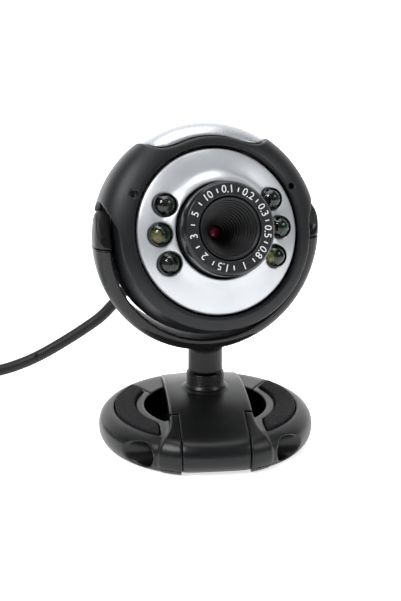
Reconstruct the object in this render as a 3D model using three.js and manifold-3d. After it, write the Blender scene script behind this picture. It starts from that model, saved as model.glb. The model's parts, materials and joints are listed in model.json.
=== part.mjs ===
// A six-lamp ball webcam on a round spring-clip base, with its USB lead.
// Millimetres, +Z up, the lens looks towards -Y.  The origin is the middle of the base's underside.
import * as THREE from 'three';
import { mergeVertices } from 'three/addons/utils/BufferGeometryUtils.js';
import Module from 'manifold-3d';

const wasm = await Module();
wasm.setup();

// ---------------------------------------------------------------- driving dimensions
const GAP = 0.3; // running or resting clearance between neighbouring pieces
const DEG = Math.PI / 180;
const FAR = 60; // half-length of a cutter that passes right through
const ROUND = 32; // facets round a large turned piece
const SMALL_ROUND = 10; // facets round a pin or a screw

// base ring and clip
const BASE_RADIUS = 27.7; // widest radius of the base
const BASE_HEIGHT = 8.8; // top of the rim
const HOLE_RADIUS = 15.8; // well in the middle of the base
const PAD_INNER = 18.0;
const PAD_OUTER = 23.6;
const PAD_FRONT_X = 12.9; // the pads' front ends are cut straight, this far from the middle
const PAD_END_WALL = 0.9; // wall between the pads' rear ends and the toe's seam
const PAD_DEPTH = 1.5; // depth of the channel that the foam sits in
const PAD_PROUD = 0.3; // foam above the rim
const PLATE_RADIUS = 23.0;
const PLATE_THICKNESS = 1.0;
const PLATE_FRONT = -11.9; // its edge behind the skirt
const TOE_APEX_Y = -12.4; // the toe's two seams meet here when run on
const TOE_SPREAD = 33.3; // degrees between each seam and the middle
const TOE_UNDERSIDE = 4.8;

// clip hinge
const HINGE_Y = -20.0;
const HINGE_Z = 4.0;
const HINGE_POCKET_RADIUS = 3.0;
const HINGE_PIN_RADIUS = 1.5;
const HINGE_CHEEK = 12.8; // inner end of the pin pockets
const SPRING_RADIUS = 3.0;
const SPRING_WIRE = 0.8;
const SPRING_TURNS = 6;

// upper jaw (the saddle that carries the stem)
const SADDLE_TOP = 13.2;
const SADDLE_THICKNESS = 3.0;
const SADDLE_HALF_WIDTH = 10.3;
const SKIRT_HALF_WIDTH = 8.2;
const SHOULDER_Y = -14.0; // front of the saddle's wide part, on its top surface
const SHOULDER_Z = 11.5;
const COLLAR_HEIGHT = 4.3;
const COLLAR_RADIUS = 4.8;
const COLLAR_FOOT_RADIUS = 5.4;

// stem and yoke
const STEM_RADIUS = 4.3;
const SPIGOT_RADIUS = 3.1;
const BALL_HEIGHT = 53.2; // height of the tilt axis
const HEAD_YAW = 11.5; // rest pose, degrees to the right of straight ahead
const HEAD_TILT = 15.6; // rest pose, degrees above level
const YOKE_OUTER = 28.6;
const YOKE_INNER = 25.2;
const YOKE_HALF_WIDTH = 6.5;
const YOKE_EDGE = 0.6; // thickness of the band along its edges
const TIP_HEIGHT = 7.5; // yoke tips above the tilt axis
const SEAM_DROP = 0.8; // cap seam below the tilt axis
const PIVOT_RADIUS = 1.6;

// head
const BEZEL_RADIUS = 28.1;
const BEZEL_DEPTH = 12.4; // semi-axis of the flattened front
const FRONT_POWER = 3.6; // squareness of the flattened front, 2 for an ellipse
const BEZEL_WALL = 1.8;
const BEZEL_OPENING = 20.5;
const BEZEL_BACK = -6.0;
const DOME_RADIUS = 27.4;
const DOME_WALL = 1.6;
const BELLY_RADIUS = 24.6;
const CHANNEL_RADIUS = 9.5; // round clearance about the tilt axis
const CHANNEL_BACK_ANGLE = 40; // degrees behind straight down
const MIC_X = 19.6;
const MIC_Z = 9.9;
const SCREW_X = 16.8;
const SCREW_Z = 15.4;

// face plate, lamps and lens
const FACE_RADIUS = 19.9;
const FACE_EDGE = 10.4;
const FACE_RISE = 4.0; // height of the boss above the plate's edge
const FACE_WALL = 1.3;
const LED_RADIUS = 2.5;
const LED_CIRCLE = 14.8;
const LED_PITCH = 27.5; // degrees
const LED_TOP = 14.7;
const RING_RADIUS = 11.1;
const RING_FRONT = 19.9;
const RING_LENGTH = 7.2;
const RING_WALL = 1.4;
const HOOD_MOUTH = 6.5;
const HOOD_THROAT = 1.9;
const HOOD_BACK = 8.0;
const HOOD_STEPS = 7;
const HOOD_WALL = 0.7;
const BOARD_BACK = -3.6;
const BOARD_THICKNESS = 1.6;
const BARREL_RADIUS = 3.3;
const BARREL_FRONT = 7.0;

// lead
const CORD_RADIUS = 1.7;
const COIL_RADIUS = 18.7; // middle of the turns
const COIL_TURNS_WIDE = 3;
const COIL_TURNS_HIGH = 3;
const COIL_CENTRE = [-88.0, 26.7];
const RELIEF_LENGTH = 8.0;
const PLUG_LENGTH = 24.0;
const PLUG_WIDTH = 15.4;
const PLUG_THICKNESS = 8.2;
const PLUG_RELIEF = 10.0;
const SHELL_LENGTH = 12.5;
const SHELL_WIDTH = 12.0;
const SHELL_HEIGHT = 4.5;

// ---------------------------------------------------------------- materials
const finish = (color, roughness, metalness = 0) =>
  new THREE.MeshStandardMaterial({ color, roughness, metalness });
const satinBlack = finish(0x1d1d20, 0.5);
const glossBlack = finish(0x101012, 0.2);
const silver = finish(0xc9ccd2, 0.35, 0.6);
const pearl = finish(0xdadde2, 0.3, 0.5);
const foam = finish(0x17171a, 0.95);
const steel = finish(0x9a9ca0, 0.3, 1);
const clear = finish(0xdfe6dc, 0.05);
const greenBoard = finish(0x1f5c38, 0.5);
const cableBlack = finish(0x141416, 0.55);
const nickel = finish(0xb9bbbd, 0.25, 1);
const whitePlastic = finish(0xe8e8e2, 0.5);
const glassRed = finish(0x7d1020, 0.05);

// ---------------------------------------------------------------- geometry helpers
function toSolid(geometry) {
  const plain = geometry.index ? geometry.toNonIndexed() : geometry.clone();
  plain.deleteAttribute('normal');
  plain.deleteAttribute('uv');
  const merged = mergeVertices(plain, 1e-4);
  return new wasm.Manifold(new wasm.Mesh({
    numProp: 3,
    vertProperties: new Float32Array(merged.attributes.position.array),
    triVerts: new Uint32Array(merged.index.array),
  }));
}

function toMesh(name, solid, material) {
  const data = solid.getMesh();
  const geometry = new THREE.BufferGeometry();
  geometry.setAttribute('position', new THREE.BufferAttribute(data.vertProperties, 3));
  geometry.setIndex(new THREE.BufferAttribute(data.triVerts, 1));
  geometry.computeVertexNormals();
  const mesh = new THREE.Mesh(geometry, material);
  mesh.name = name;
  return mesh;
}

const unite = (...solids) => solids.reduce((sum, next) => sum.add(next));

// A closed outline of [radius, height] points turned about Z, whichever way round it is listed.
function revolve(outline, segments = ROUND) {
  const area = outline.reduce((sum, [r, z], i) => {
    const [r2, z2] = outline[(i + 1) % outline.length];
    return sum + r * z2 - r2 * z;
  }, 0);
  const ordered = area > 0 ? outline : [...outline].reverse();
  const points = ordered.map(([r, z]) => new THREE.Vector2(r, z));
  const onAxis = points.some((point) => point.x === 0);
  if (onAxis) {
    while (!(points[0].x === 0 && points[points.length - 1].x === 0)) points.push(points.shift());
  } else {
    points.push(points[0].clone());
  }
  return new THREE.LatheGeometry(points, segments).rotateX(Math.PI / 2);
}

const turned = (outline, segments) => toSolid(revolve(outline, segments));

// The same, about the head's axis: points are [radius, distance towards -Y].
const faced = (outline, segments) => toSolid(revolve(outline, segments).rotateX(Math.PI / 2));

function block(x0, x1, y0, y1, z0, z1) {
  const box = new THREE.BoxGeometry(x1 - x0, y1 - y0, z1 - z0);
  return toSolid(box.translate((x0 + x1) / 2, (y0 + y1) / 2, (z0 + z1) / 2));
}

// An outline of [x, y] points raised along Z.
function prism(outline, bottom, top) {
  const shape = new THREE.Shape(outline.map(([x, y]) => new THREE.Vector2(x, y)));
  const geometry = new THREE.ExtrudeGeometry(shape, { depth: top - bottom, bevelEnabled: false });
  return toSolid(geometry.translate(0, 0, bottom));
}

// An outline of [y, z] points drawn in the side view and given a width along X.
function sideways(outline, left, right) {
  const shape = new THREE.Shape(outline.map(([y, z]) => new THREE.Vector2(y, z)));
  const geometry = new THREE.ExtrudeGeometry(shape, { depth: right - left, bevelEnabled: false });
  geometry.applyMatrix4(new THREE.Matrix4().set(0, 0, 1, 0, 1, 0, 0, 0, 0, 1, 0, 0, 0, 0, 0, 1));
  return toSolid(geometry.translate(left, 0, 0));
}

// A rod along X, or along the head's axis.
function rodX(radius, left, right, y, z, segments = SMALL_ROUND) {
  const geometry = new THREE.CylinderGeometry(radius, radius, right - left, segments);
  return toSolid(geometry.rotateZ(Math.PI / 2).translate((left + right) / 2, y, z));
}

function rodForward(radius, back, front, x, z, segments = SMALL_ROUND) {
  const geometry = new THREE.CylinderGeometry(radius, radius, front - back, segments);
  return toSolid(geometry.translate(x, -(back + front) / 2, z));
}

// Points on an arc, in degrees, as [a, b] pairs.
function arc(a, b, radiusA, radiusB, from, to, steps) {
  return Array.from({ length: steps + 1 }, (_, i) => {
    const angle = (from + ((to - from) * i) / steps) * DEG;
    return [a + radiusA * Math.cos(angle), b + radiusB * Math.sin(angle)];
  });
}

const sides = [-1, 1];

// ---------------------------------------------------------------- base
const rimOutline = [
  [HOLE_RADIUS, 0], [BASE_RADIUS - 1.7, 0], [BASE_RADIUS - 0.6, 1.3], [BASE_RADIUS - 0.1, 2.8],
  [BASE_RADIUS, 4.0], [BASE_RADIUS - 0.3, 5.6], [BASE_RADIUS - 1.2, 7.3],
  [BASE_RADIUS - 2.4, 8.3], [BASE_RADIUS - 3.6, BASE_HEIGHT], [HOLE_RADIUS, BASE_HEIGHT],
];

// The ring's outer wall run on upwards, which rounds the skirt and its cheeks in plan.
const roundedWall = [
  [0, 0], ...rimOutline.slice(1, 7), [BASE_RADIUS - 2.3, 8.5], [BASE_RADIUS - 4.1, 9.4],
  [BASE_RADIUS - 6.7, 10.6], [BASE_RADIUS - 11.7, SADDLE_TOP - 0.5], [0, SADDLE_TOP + 1.3],
];

// Side view of the bridge over the base: skirt, saddle and the tail that runs into the toe.
const saddleUnder = SADDLE_TOP - SADDLE_THICKNESS;
const bridgeOutline = [
  [3.3 - BASE_RADIUS, 0.4], [1.5 - BASE_RADIUS, 1.5], [0.4 - BASE_RADIUS, 3.0], [-BASE_RADIUS, 4.4],
  [0.4 - BASE_RADIUS, 6.2], [1.7 - BASE_RADIUS, 7.9], [4.1 - BASE_RADIUS, 9.1],
  [-19.0, 10.3], [-12.0, 12.0], [-6.0, SADDLE_TOP - 0.3], [0, SADDLE_TOP],
  [6.0, SADDLE_TOP - 0.2], [12.0, 12.1], [18.0, 10.4], [22.0, BASE_HEIGHT],
  [22.0, TOE_UNDERSIDE], [16.1, TOE_UNDERSIDE], [15.2, 7.4], [10.0, 9.5], [5.5, saddleUnder],
  [-5.5, saddleUnder], [-9.5, 9.2], [-12.8, 7.2], [-12.8, 1.6], [-14.6, 0.4],
];

const plateTop = PLATE_THICKNESS + GAP;
const padFloor = BASE_HEIGHT - PAD_DEPTH;
const shoulderRadius = Math.hypot(SHOULDER_Y - HINGE_Y, SHOULDER_Z - HINGE_Z);
const bridge = () => sideways(bridgeOutline, -FAR, FAR).intersect(turned(roundedWall));
const hingeRod = (radius) => rodX(radius, -FAR, FAR, HINGE_Y, HINGE_Z, 48);

// Plan view of everything behind the toe's seams, moved forward by "offset".
function toePlan(offset) {
  const slope = Math.tan(TOE_SPREAD * DEG);
  const apex = TOE_APEX_Y - offset / Math.sin(TOE_SPREAD * DEG);
  const back = apex + FAR / slope;
  return [[0, apex], [FAR, back], [-FAR, back]];
}

// The foam's channel, or the foam itself when it is shrunk by "inset".
function padForm(side, inset, bottom, top) {
  const inner = PAD_INNER + inset;
  const outer = PAD_OUTER - inset;
  const ring = turned([[inner, bottom], [outer, bottom], [outer, top], [inner, top]]);
  const near = PAD_FRONT_X + inset;
  const reach = side > 0 ? [near, FAR] : [-FAR, -near];
  return ring
    .intersect(block(...reach, -FAR, FAR, -FAR, FAR))
    .subtract(prism(toePlan(PAD_END_WALL + inset), -FAR, FAR));
}

// Raised flanks of the lower jaw, flush with the skirt between them.
function makeCheeks() {
  const inner = SKIRT_HALF_WIDTH + GAP;
  const flare = [
    [SADDLE_HALF_WIDTH, SHOULDER_Y + 3], [SADDLE_HALF_WIDTH, SHOULDER_Y - 1],
    [SADDLE_HALF_WIDTH + 0.6, -18.0], [SADDLE_HALF_WIDTH + 2.0, -21.5],
    [SADDLE_HALF_WIDTH + 3.4, -24.0], [SADDLE_HALF_WIDTH + 3.4, -FAR],
  ];
  const right = prism([[inner, -FAR], [inner, SHOULDER_Y + 3], ...flare], 0, FAR);
  return unite(right, right.mirror([1, 0, 0]))
    .intersect(bridge())
    .intersect(hingeRod(shoulderRadius - GAP))
    .subtract(turned([[0, -1], [HOLE_RADIUS, -1], [HOLE_RADIUS, FAR], [0, FAR]]));
}

function makeLowerJaw() {
  const halfNotch = SKIRT_HALF_WIDTH + GAP;
  const notch = block(-halfNotch, halfNotch, -FAR, -10, -1, FAR);
  const toeSeat = prism(toePlan(GAP), TOE_UNDERSIDE - GAP, FAR);
  const plateSeat = turned([[0, -1], [PLATE_RADIUS + GAP, -1], [PLATE_RADIUS + GAP, plateTop],
    [0, plateTop]]);
  let jaw = turned(rimOutline).subtract(toeSeat);
  for (const side of sides) jaw = jaw.subtract(padForm(side, 0, padFloor, FAR));
  jaw = jaw.add(makeCheeks()).subtract(notch).subtract(plateSeat);
  for (const side of sides) {
    const pocketEnds = side > 0 ? [HINGE_CHEEK, FAR] : [-FAR, -HINGE_CHEEK];
    const boreEnds = side > 0 ? [5, HINGE_CHEEK + 1] : [-HINGE_CHEEK - 1, -5];
    jaw = jaw
      .subtract(rodX(HINGE_POCKET_RADIUS, ...pocketEnds, HINGE_Y, HINGE_Z, 24))
      .subtract(rodX(HINGE_PIN_RADIUS + GAP, ...boreEnds, HINGE_Y, HINGE_Z));
  }
  return toMesh('lower_jaw', jaw, satinBlack);
}

function makeBottomPlate() {
  const disc = turned([[0, 0], [PLATE_RADIUS, 0], [PLATE_RADIUS, PLATE_THICKNESS],
    [0, PLATE_THICKNESS]]);
  const halfNotch = SKIRT_HALF_WIDTH + GAP;
  const notch = block(-halfNotch, halfNotch, -FAR, PLATE_FRONT, -1, 5);
  return toMesh('bottom_plate', disc.subtract(notch), satinBlack);
}

function makePad(side) {
  const pad = padForm(side, GAP, padFloor + GAP, BASE_HEIGHT + PAD_PROUD);
  return toMesh(side > 0 ? 'foam_pad_right' : 'foam_pad_left', pad, foam);
}

function makeHingePin(side) {
  const tip = 4.8; // inner end of the shank
  const headBack = HINGE_CHEEK + GAP;
  const headFront = headBack + 1.2;
  const reach = (a, b) => (side > 0 ? [a, b] : [-b, -a]);
  const pin = unite(
    rodX(HINGE_PIN_RADIUS, ...reach(tip, headFront), HINGE_Y, HINGE_Z),
    rodX(HINGE_POCKET_RADIUS - GAP, ...reach(headBack, headFront), HINGE_Y, HINGE_Z),
  );
  return toMesh(side > 0 ? 'hinge_pin_right' : 'hinge_pin_left', pin, steel);
}

// ---------------------------------------------------------------- upper jaw
const collarSeat = SADDLE_TOP - 0.8; // floor of the collar's socket
const collarPlug = COLLAR_FOOT_RADIUS - 1; // radius of the socket

function makeUpperJaw() {
  const whole = bridge();
  const wide = whole
    .intersect(block(-SADDLE_HALF_WIDTH, SADDLE_HALF_WIDTH, HINGE_Y, FAR, -1, FAR))
    .subtract(hingeRod(shoulderRadius));
  const skirt = whole.intersect(block(-SKIRT_HALF_WIDTH, SKIRT_HALF_WIDTH, -FAR, FAR, -1, FAR));
  const toeForm = turned(rimOutline).intersect(prism(toePlan(0), TOE_UNDERSIDE, FAR));
  const springRoom = SPRING_RADIUS + 0.5;
  const springHalf = (SPRING_TURNS * SPRING_WIRE) / 2 + GAP;
  const bore = (radius, bottom) => turned([[0, bottom], [radius, bottom], [radius, FAR], [0, FAR]], 20);
  const jaw = unite(wide, skirt, toeForm)
    .subtract(hingeRod(HINGE_PIN_RADIUS + GAP))
    .subtract(rodX(springRoom, -springHalf, springHalf, HINGE_Y, HINGE_Z, 24))
    .subtract(block(-springHalf, springHalf, HINGE_Y - 2, HINGE_Y + 2, -1, HINGE_Z))
    .subtract(bore(SPIGOT_RADIUS + GAP, 0))
    .subtract(bore(collarPlug, collarSeat));
  return toMesh('upper_jaw', jaw, satinBlack);
}

function makeClipSpring() {
  const outline = [];
  const half = SPRING_TURNS * SPRING_WIRE / 2;
  for (let i = 0; i < SPRING_TURNS; i += 1) {
    const middle = -half + (i + 0.5) * SPRING_WIRE;
    outline.push([SPRING_RADIUS - 0.15, middle - SPRING_WIRE * 0.48]);
    outline.push([SPRING_RADIUS, middle]);
  }
  outline.push([SPRING_RADIUS - SPRING_WIRE, half], [SPRING_RADIUS - SPRING_WIRE, -half]);
  const geometry = revolve(outline, SMALL_ROUND).rotateY(Math.PI / 2).translate(0, HINGE_Y, HINGE_Z);
  return toMesh('clip_spring', toSolid(geometry), steel);
}

// Ribbed collar that the stem turns in: a plug in the saddle and a tube above it.
function makeCollar() {
  const bottom = collarSeat + GAP;
  const top = SADDLE_TOP + COLLAR_HEIGHT;
  const bore = SPIGOT_RADIUS + GAP;
  const seat = collarPlug - GAP;
  const ribs = 2;
  const ribbed = [];
  for (let i = 0; i < ribs; i += 1) {
    const z = SADDLE_TOP + 1.6 + (i * (COLLAR_HEIGHT - 2.2)) / ribs;
    ribbed.push([COLLAR_RADIUS, z], [COLLAR_RADIUS, z + 0.3], [COLLAR_RADIUS - 0.15, z + 0.35]);
  }
  const outline = [
    [bore, bottom], [seat, bottom], [seat, SADDLE_TOP + GAP], [COLLAR_FOOT_RADIUS, SADDLE_TOP + GAP],
    [COLLAR_RADIUS + 0.1, SADDLE_TOP + 1.3], ...ribbed, [COLLAR_RADIUS - 0.3, top], [bore, top],
  ];
  return toMesh('stem_collar', turned(outline, 20), satinBlack);
}

// ---------------------------------------------------------------- yoke, in its own frame
const crown = YOKE_OUTER - YOKE_INNER - YOKE_EDGE;
const yokeSection = [
  [YOKE_INNER, YOKE_HALF_WIDTH - 0.3], [YOKE_INNER, -YOKE_HALF_WIDTH + 0.3],
  ...arc(YOKE_INNER + YOKE_EDGE, 0, crown, YOKE_HALF_WIDTH, -90, 90, 6),
];
// Heights in the yoke's frame, which has its origin at the middle of the ball.
const shoulder = SADDLE_TOP + COLLAR_HEIGHT + GAP - BALL_HEIGHT;
const spigotEnd = saddleUnder + 0.2 - BALL_HEIGHT;
const washerTop = saddleUnder - GAP - BALL_HEIGHT;
const washerBottom = washerTop - 1.0;

// The pivot pins are clamped between the arms and their caps.
const pivotSeat = () => rodX(PIVOT_RADIUS + GAP, -YOKE_INNER - 1.6, YOKE_INNER + 1.6, 0, 0);

function makeYoke() {
  const seam = -SEAM_DROP - GAP / 2;
  const band = faced(yokeSection, 48).intersect(block(-FAR, FAR, -FAR, FAR, -FAR, seam));
  const stem = turned([
    [0, spigotEnd], [SPIGOT_RADIUS, spigotEnd], [SPIGOT_RADIUS, shoulder], [STEM_RADIUS, shoulder],
    [STEM_RADIUS + 0.15, -YOKE_INNER - 1], [0, -YOKE_INNER - 1],
  ], 20);
  const screwBore = turned([[0, -FAR], [1.5, -FAR], [1.5, spigotEnd + 6], [0, spigotEnd + 6]], SMALL_ROUND);
  const yoke = unite(band, stem).subtract(screwBore).subtract(pivotSeat());
  return toMesh('yoke', yoke, satinBlack);
}

// A petal-shaped cap: full thickness at the seam, thinning to an edge along its curved tip.
function makePivotCap(side) {
  const petal = new THREE.BoxGeometry(1, 2, 1, 1, 14, 8);
  const place = petal.attributes.position;
  const bottom = -SEAM_DROP + GAP / 2;
  for (let i = 0; i < place.count; i += 1) {
    const across = place.getY(i);
    const tip = TIP_HEIGHT * (1 - across * across) + GAP;
    const z = bottom + (tip - bottom) * (place.getZ(i) + 0.5);
    const swell = Math.sqrt(Math.max(0, 1 - across * across - Math.max(0, z) / TIP_HEIGHT));
    const radius = YOKE_INNER + (place.getX(i) + 0.5) * (YOKE_EDGE + crown * swell);
    place.setXYZ(i, Math.sqrt(radius * radius - z * z), across * YOKE_HALF_WIDTH, z);
  }
  const right = toSolid(petal);
  const cap = (side > 0 ? right : right.mirror([1, 0, 0])).subtract(pivotSeat());
  return toMesh(side > 0 ? 'pivot_cap_right' : 'pivot_cap_left', cap, satinBlack);
}

function makePivotPin(side) {
  const inner = BELLY_RADIUS - 4.0;
  const outer = YOKE_INNER + 1.3;
  const reach = side > 0 ? [inner, outer] : [-outer, -inner];
  const pin = rodX(PIVOT_RADIUS, ...reach, 0, 0);
  return toMesh(side > 0 ? 'pivot_pin_right' : 'pivot_pin_left', pin, steel);
}

function makeStemWasher() {
  const outline = [[1.5, washerBottom], [5.0, washerBottom], [5.0, washerTop], [1.5, washerTop]];
  return toMesh('stem_washer', turned(outline, 20), steel);
}

function makeStemScrew() {
  const headTop = washerBottom - GAP;
  const outline = [
    [0, headTop - 1.5], [2.4, headTop - 1.5], [2.8, headTop - 1.0], [2.8, headTop],
    [1.15, headTop], [1.15, spigotEnd + 5.4], [0, spigotEnd + 5.4],
  ];
  return toMesh('stem_screw', turned(outline, SMALL_ROUND), steel);
}

// ---------------------------------------------------------------- head, in its own frame
// A ball with a flattened front, as an outline of [radius, distance forward].  It starts at the
// plane "back", or at the rear pole when the ball doesn't reach that far.
function headForm(radius, depth, opening, back) {
  const squared = (value) => Math.abs(value) ** (2 / FRONT_POWER);
  const last = Math.acos((opening / radius) ** (FRONT_POWER / 2));
  const steps = 7;
  const front = Array.from({ length: steps + 1 }, (_, i) => {
    const angle = (last * i) / steps;
    return [radius * squared(Math.cos(angle)), depth * squared(Math.sin(angle))];
  });
  const wholeBall = back <= -radius;
  const start = wholeBall ? [[0, -radius]] : [];
  const backAngle = wholeBall ? -84 : Math.asin(back / radius) / DEG;
  const rear = arc(0, 0, radius, radius, backAngle, 0, wholeBall ? 7 : 2).slice(0, -1);
  return [...start, ...rear, ...front];
}

// Room for the yoke in the head's side view: a round hole about the tilt axis that opens downwards.
function channelOutline(grow) {
  const radius = CHANNEL_RADIUS + grow;
  const front = -(CHANNEL_RADIUS + grow);
  const lineAngle = CHANNEL_BACK_ANGLE * DEG;
  const along = [Math.sin(lineAngle), -Math.cos(lineAngle)];
  const tangent = [Math.cos(lineAngle) * radius, Math.sin(lineAngle) * radius];
  const start = Math.acos(front / radius) / DEG;
  const round = arc(0, 0, radius, radius, CHANNEL_BACK_ANGLE, start, 14);
  return [
    [tangent[0] + along[0] * FAR, tangent[1] + along[1] * FAR],
    ...round, [front, -FAR],
  ];
}

const channel = (grow) => sideways(channelOutline(grow), -FAR, FAR);

// The wavy notch in the top of the bezel, seen from the front, that shows the dome behind it.
function scallop(grow) {
  const half = [
    [16.5, 29.0], [16.0, 22.3], [14.6, 21.3], [13.0, 20.7], [11.6, 20.5], [9.8, 20.8],
    [7.8, 21.6], [5.0, 22.4], [2.5, 22.8], [0, 22.9],
  ];
  const lift = ([x, z]) => [x === 0 ? 0 : x - grow, z + grow];
  const right = half.map(lift);
  const left = right.slice(0, -1).reverse().map(([x, z]) => [-x, z]);
  const raised = prism([...right, ...left].reverse(), -FAR, FAR);
  return raised.rotate([90, 0, 0]);
}

function shellOf(radius, depth, wall, opening, back) {
  const inner = headForm(radius - wall, depth - wall, opening, back);
  return faced([...headForm(radius, depth, opening, back), ...inner.reverse()]);
}

const screwSpots = [-SCREW_X, SCREW_X];
const POST_RADIUS = 2.0;

function makeFrontBezel() {
  const ring = shellOf(BEZEL_RADIUS, BEZEL_DEPTH, BEZEL_WALL, BEZEL_OPENING, BEZEL_BACK)
    .subtract(channel(0))
    .subtract(scallop(0));
  const bellyReach = 1.3;
  const ball = (radius) => toSolid(new THREE.SphereGeometry(radius, 24, 14));
  const belly = ball(BELLY_RADIUS)
    .subtract(ball(BELLY_RADIUS - BEZEL_WALL))
    .intersect(channel(bellyReach))
    .intersect(block(-FAR, FAR, -CHANNEL_RADIUS - 0.8, FAR, -FAR, FAR));
  const form = faced([...headForm(BEZEL_RADIUS - 0.5, BEZEL_DEPTH - 0.5, 12, BEZEL_BACK),
    [0, BEZEL_DEPTH - 0.5], [0, BEZEL_BACK]], 48);
  let bezel = unite(ring, belly);
  for (const x of screwSpots) {
    const post = rodForward(POST_RADIUS, BEZEL_BACK, 12, x, SCREW_Z).intersect(form);
    bezel = bezel.add(post).subtract(rodForward(1.2, BEZEL_BACK - 1, 5, x, SCREW_Z));
  }
  for (const side of [-1, 1]) {
    bezel = bezel
      .subtract(rodForward(0.9, 0, 20, side * MIC_X, MIC_Z))
      .subtract(rodX(PIVOT_RADIUS + GAP, side > 0 ? 15 : -30, side > 0 ? 30 : -15, 0, 0));
  }
  return toMesh('front_bezel', bezel, satinBlack);
}

function makeRearShell() {
  const front = BEZEL_BACK - GAP;
  const behind = block(-FAR, FAR, -front, FAR, -FAR, FAR);
  const tongue = scallop(GAP).intersect(block(-FAR, FAR, -9.2, FAR, 0, FAR));
  const form = shellOf(DOME_RADIUS, BEZEL_DEPTH - 0.7, DOME_WALL, BEZEL_OPENING, -FAR);
  const outer = faced([...headForm(DOME_RADIUS - 0.4, BEZEL_DEPTH - 1.1, 12, -FAR),
    [0, BEZEL_DEPTH - 1.1]], 48);
  let shell = form.intersect(unite(behind, tongue)).subtract(channel(0));
  for (const x of screwSpots) {
    const post = rodForward(POST_RADIUS, -FAR, front, x, SCREW_Z).intersect(outer);
    shell = shell.add(post)
      .subtract(rodForward(1.2, -FAR, FAR, x, SCREW_Z))
      .subtract(rodForward(1.9 + GAP, -FAR, -10, x, SCREW_Z));
  }
  shell = shell.subtract(rodForward(GLAND_NECK + GAP, -FAR, -20, 0, 0, 28));
  return toMesh('rear_shell', shell, pearl);
}

function makeShellScrew(x) {
  const head = rodForward(1.9, -11.4, -10 - GAP, x, SCREW_Z);
  const shank = rodForward(0.9, -11, 4, x, SCREW_Z);
  return toMesh(x > 0 ? 'shell_screw_right' : 'shell_screw_left', unite(head, shank), steel);
}

const faceTop = FACE_EDGE + FACE_RISE;

function makeFacePlate() {
  const bore = RING_RADIUS + 0.4;
  const front = [
    [FACE_RADIUS, FACE_EDGE], [FACE_RADIUS - 1.4, FACE_EDGE + 1.0],
    [LED_CIRCLE, FACE_EDGE + 2.55], [12.6, faceTop - 0.5], [bore + 0.2, faceTop],
    [bore, faceTop - 0.15],
  ];
  const back = front.slice(0, -2).map(([r, p]) => [r, p - FACE_WALL]);
  let plate = faced([...front, [bore, faceTop - FACE_WALL - 0.3], ...back.reverse()]);
  for (const [x, z] of ledSpots()) {
    plate = plate.subtract(rodForward(LED_RADIUS + GAP, 0, 30, x, z, SMALL_ROUND));
  }
  return toMesh('face_plate', plate, silver);
}

function ledSpots() {
  const spots = [];
  for (const side of [-1, 1]) {
    for (const step of [1, 0, -1]) {
      const angle = step * LED_PITCH * DEG;
      spots.push([side * LED_CIRCLE * Math.cos(angle), LED_CIRCLE * Math.sin(angle)]);
    }
  }
  return spots;
}

const ledBoardFront = 8.2;

function makeLed(index, [x, z]) {
  const flangeBack = ledBoardFront + GAP;
  const domeStart = LED_TOP - LED_RADIUS;
  const outline = [
    [0, flangeBack], [LED_RADIUS + 0.4, flangeBack], [LED_RADIUS + 0.4, flangeBack + 1.0],
    [LED_RADIUS, flangeBack + 1.0], ...arc(0, domeStart, LED_RADIUS, LED_RADIUS, 0, 90, 3).slice(0, -1),
    [0, LED_TOP],
  ];
  const geometry = revolve(outline, SMALL_ROUND).rotateX(Math.PI / 2).translate(x, 0, z);
  return toMesh(`led_${index + 1}`, toSolid(geometry), clear);
}

function makeLedBoard() {
  const back = ledBoardFront - 1.2;
  const outline = [[12.0, back], [18.4, back], [18.4, ledBoardFront], [12.0, ledBoardFront]];
  return toMesh('led_board', faced(outline, 24), greenBoard);
}

function makeFocusRing() {
  const back = RING_FRONT - RING_LENGTH;
  const mouth = HOOD_MOUTH + HOOD_WALL + GAP;
  const outline = [
    [RING_RADIUS - RING_WALL, back], [RING_RADIUS, back], [RING_RADIUS, RING_FRONT - 0.9],
    [RING_RADIUS - 0.6, RING_FRONT], [mouth + 0.2, RING_FRONT], [mouth, RING_FRONT - 0.2],
    [mouth, RING_FRONT - 1.5], [RING_RADIUS - RING_WALL, RING_FRONT - 1.5],
  ];
  return toMesh('focus_ring', faced(outline), glossBlack);
}

function makeLensHood() {
  const front = RING_FRONT - 0.2;
  const stepDepth = (front - HOOD_BACK) / HOOD_STEPS;
  const stepWidth = (HOOD_MOUTH - HOOD_THROAT) / HOOD_STEPS;
  const inside = [];
  for (let i = 0; i < HOOD_STEPS; i += 1) {
    const radius = HOOD_THROAT + i * stepWidth;
    const depth = HOOD_BACK + i * stepDepth;
    inside.push([radius, depth], [radius + 0.1, depth + stepDepth]);
  }
  inside.push([HOOD_MOUTH, front - 0.1], [HOOD_MOUTH, front]);
  const outside = [[HOOD_MOUTH + HOOD_WALL, front], [HOOD_MOUTH + HOOD_WALL, front - 1.3],
    [HOOD_THROAT + HOOD_WALL, HOOD_BACK]];
  return toMesh('lens_hood', faced([...inside, ...outside], 18), satinBlack);
}

const boardFront = BOARD_BACK + BOARD_THICKNESS;

function makeMainBoard() {
  const halfWidth = 13.0;
  const halfHeight = 10.5;
  let board = block(-halfWidth, halfWidth, -boardFront, -BOARD_BACK, -halfHeight, halfHeight);
  for (const x of [-5.5, 5.5]) board = board.subtract(rodForward(1.1, -10, 10, x, 0));
  return toMesh('main_board', board, greenBoard);
}

function makeImageSensor() {
  const back = boardFront + GAP;
  return toMesh('image_sensor', block(-3.5, 3.5, -(back + 1.0), -back, -3.5, 3.5), glossBlack);
}

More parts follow.
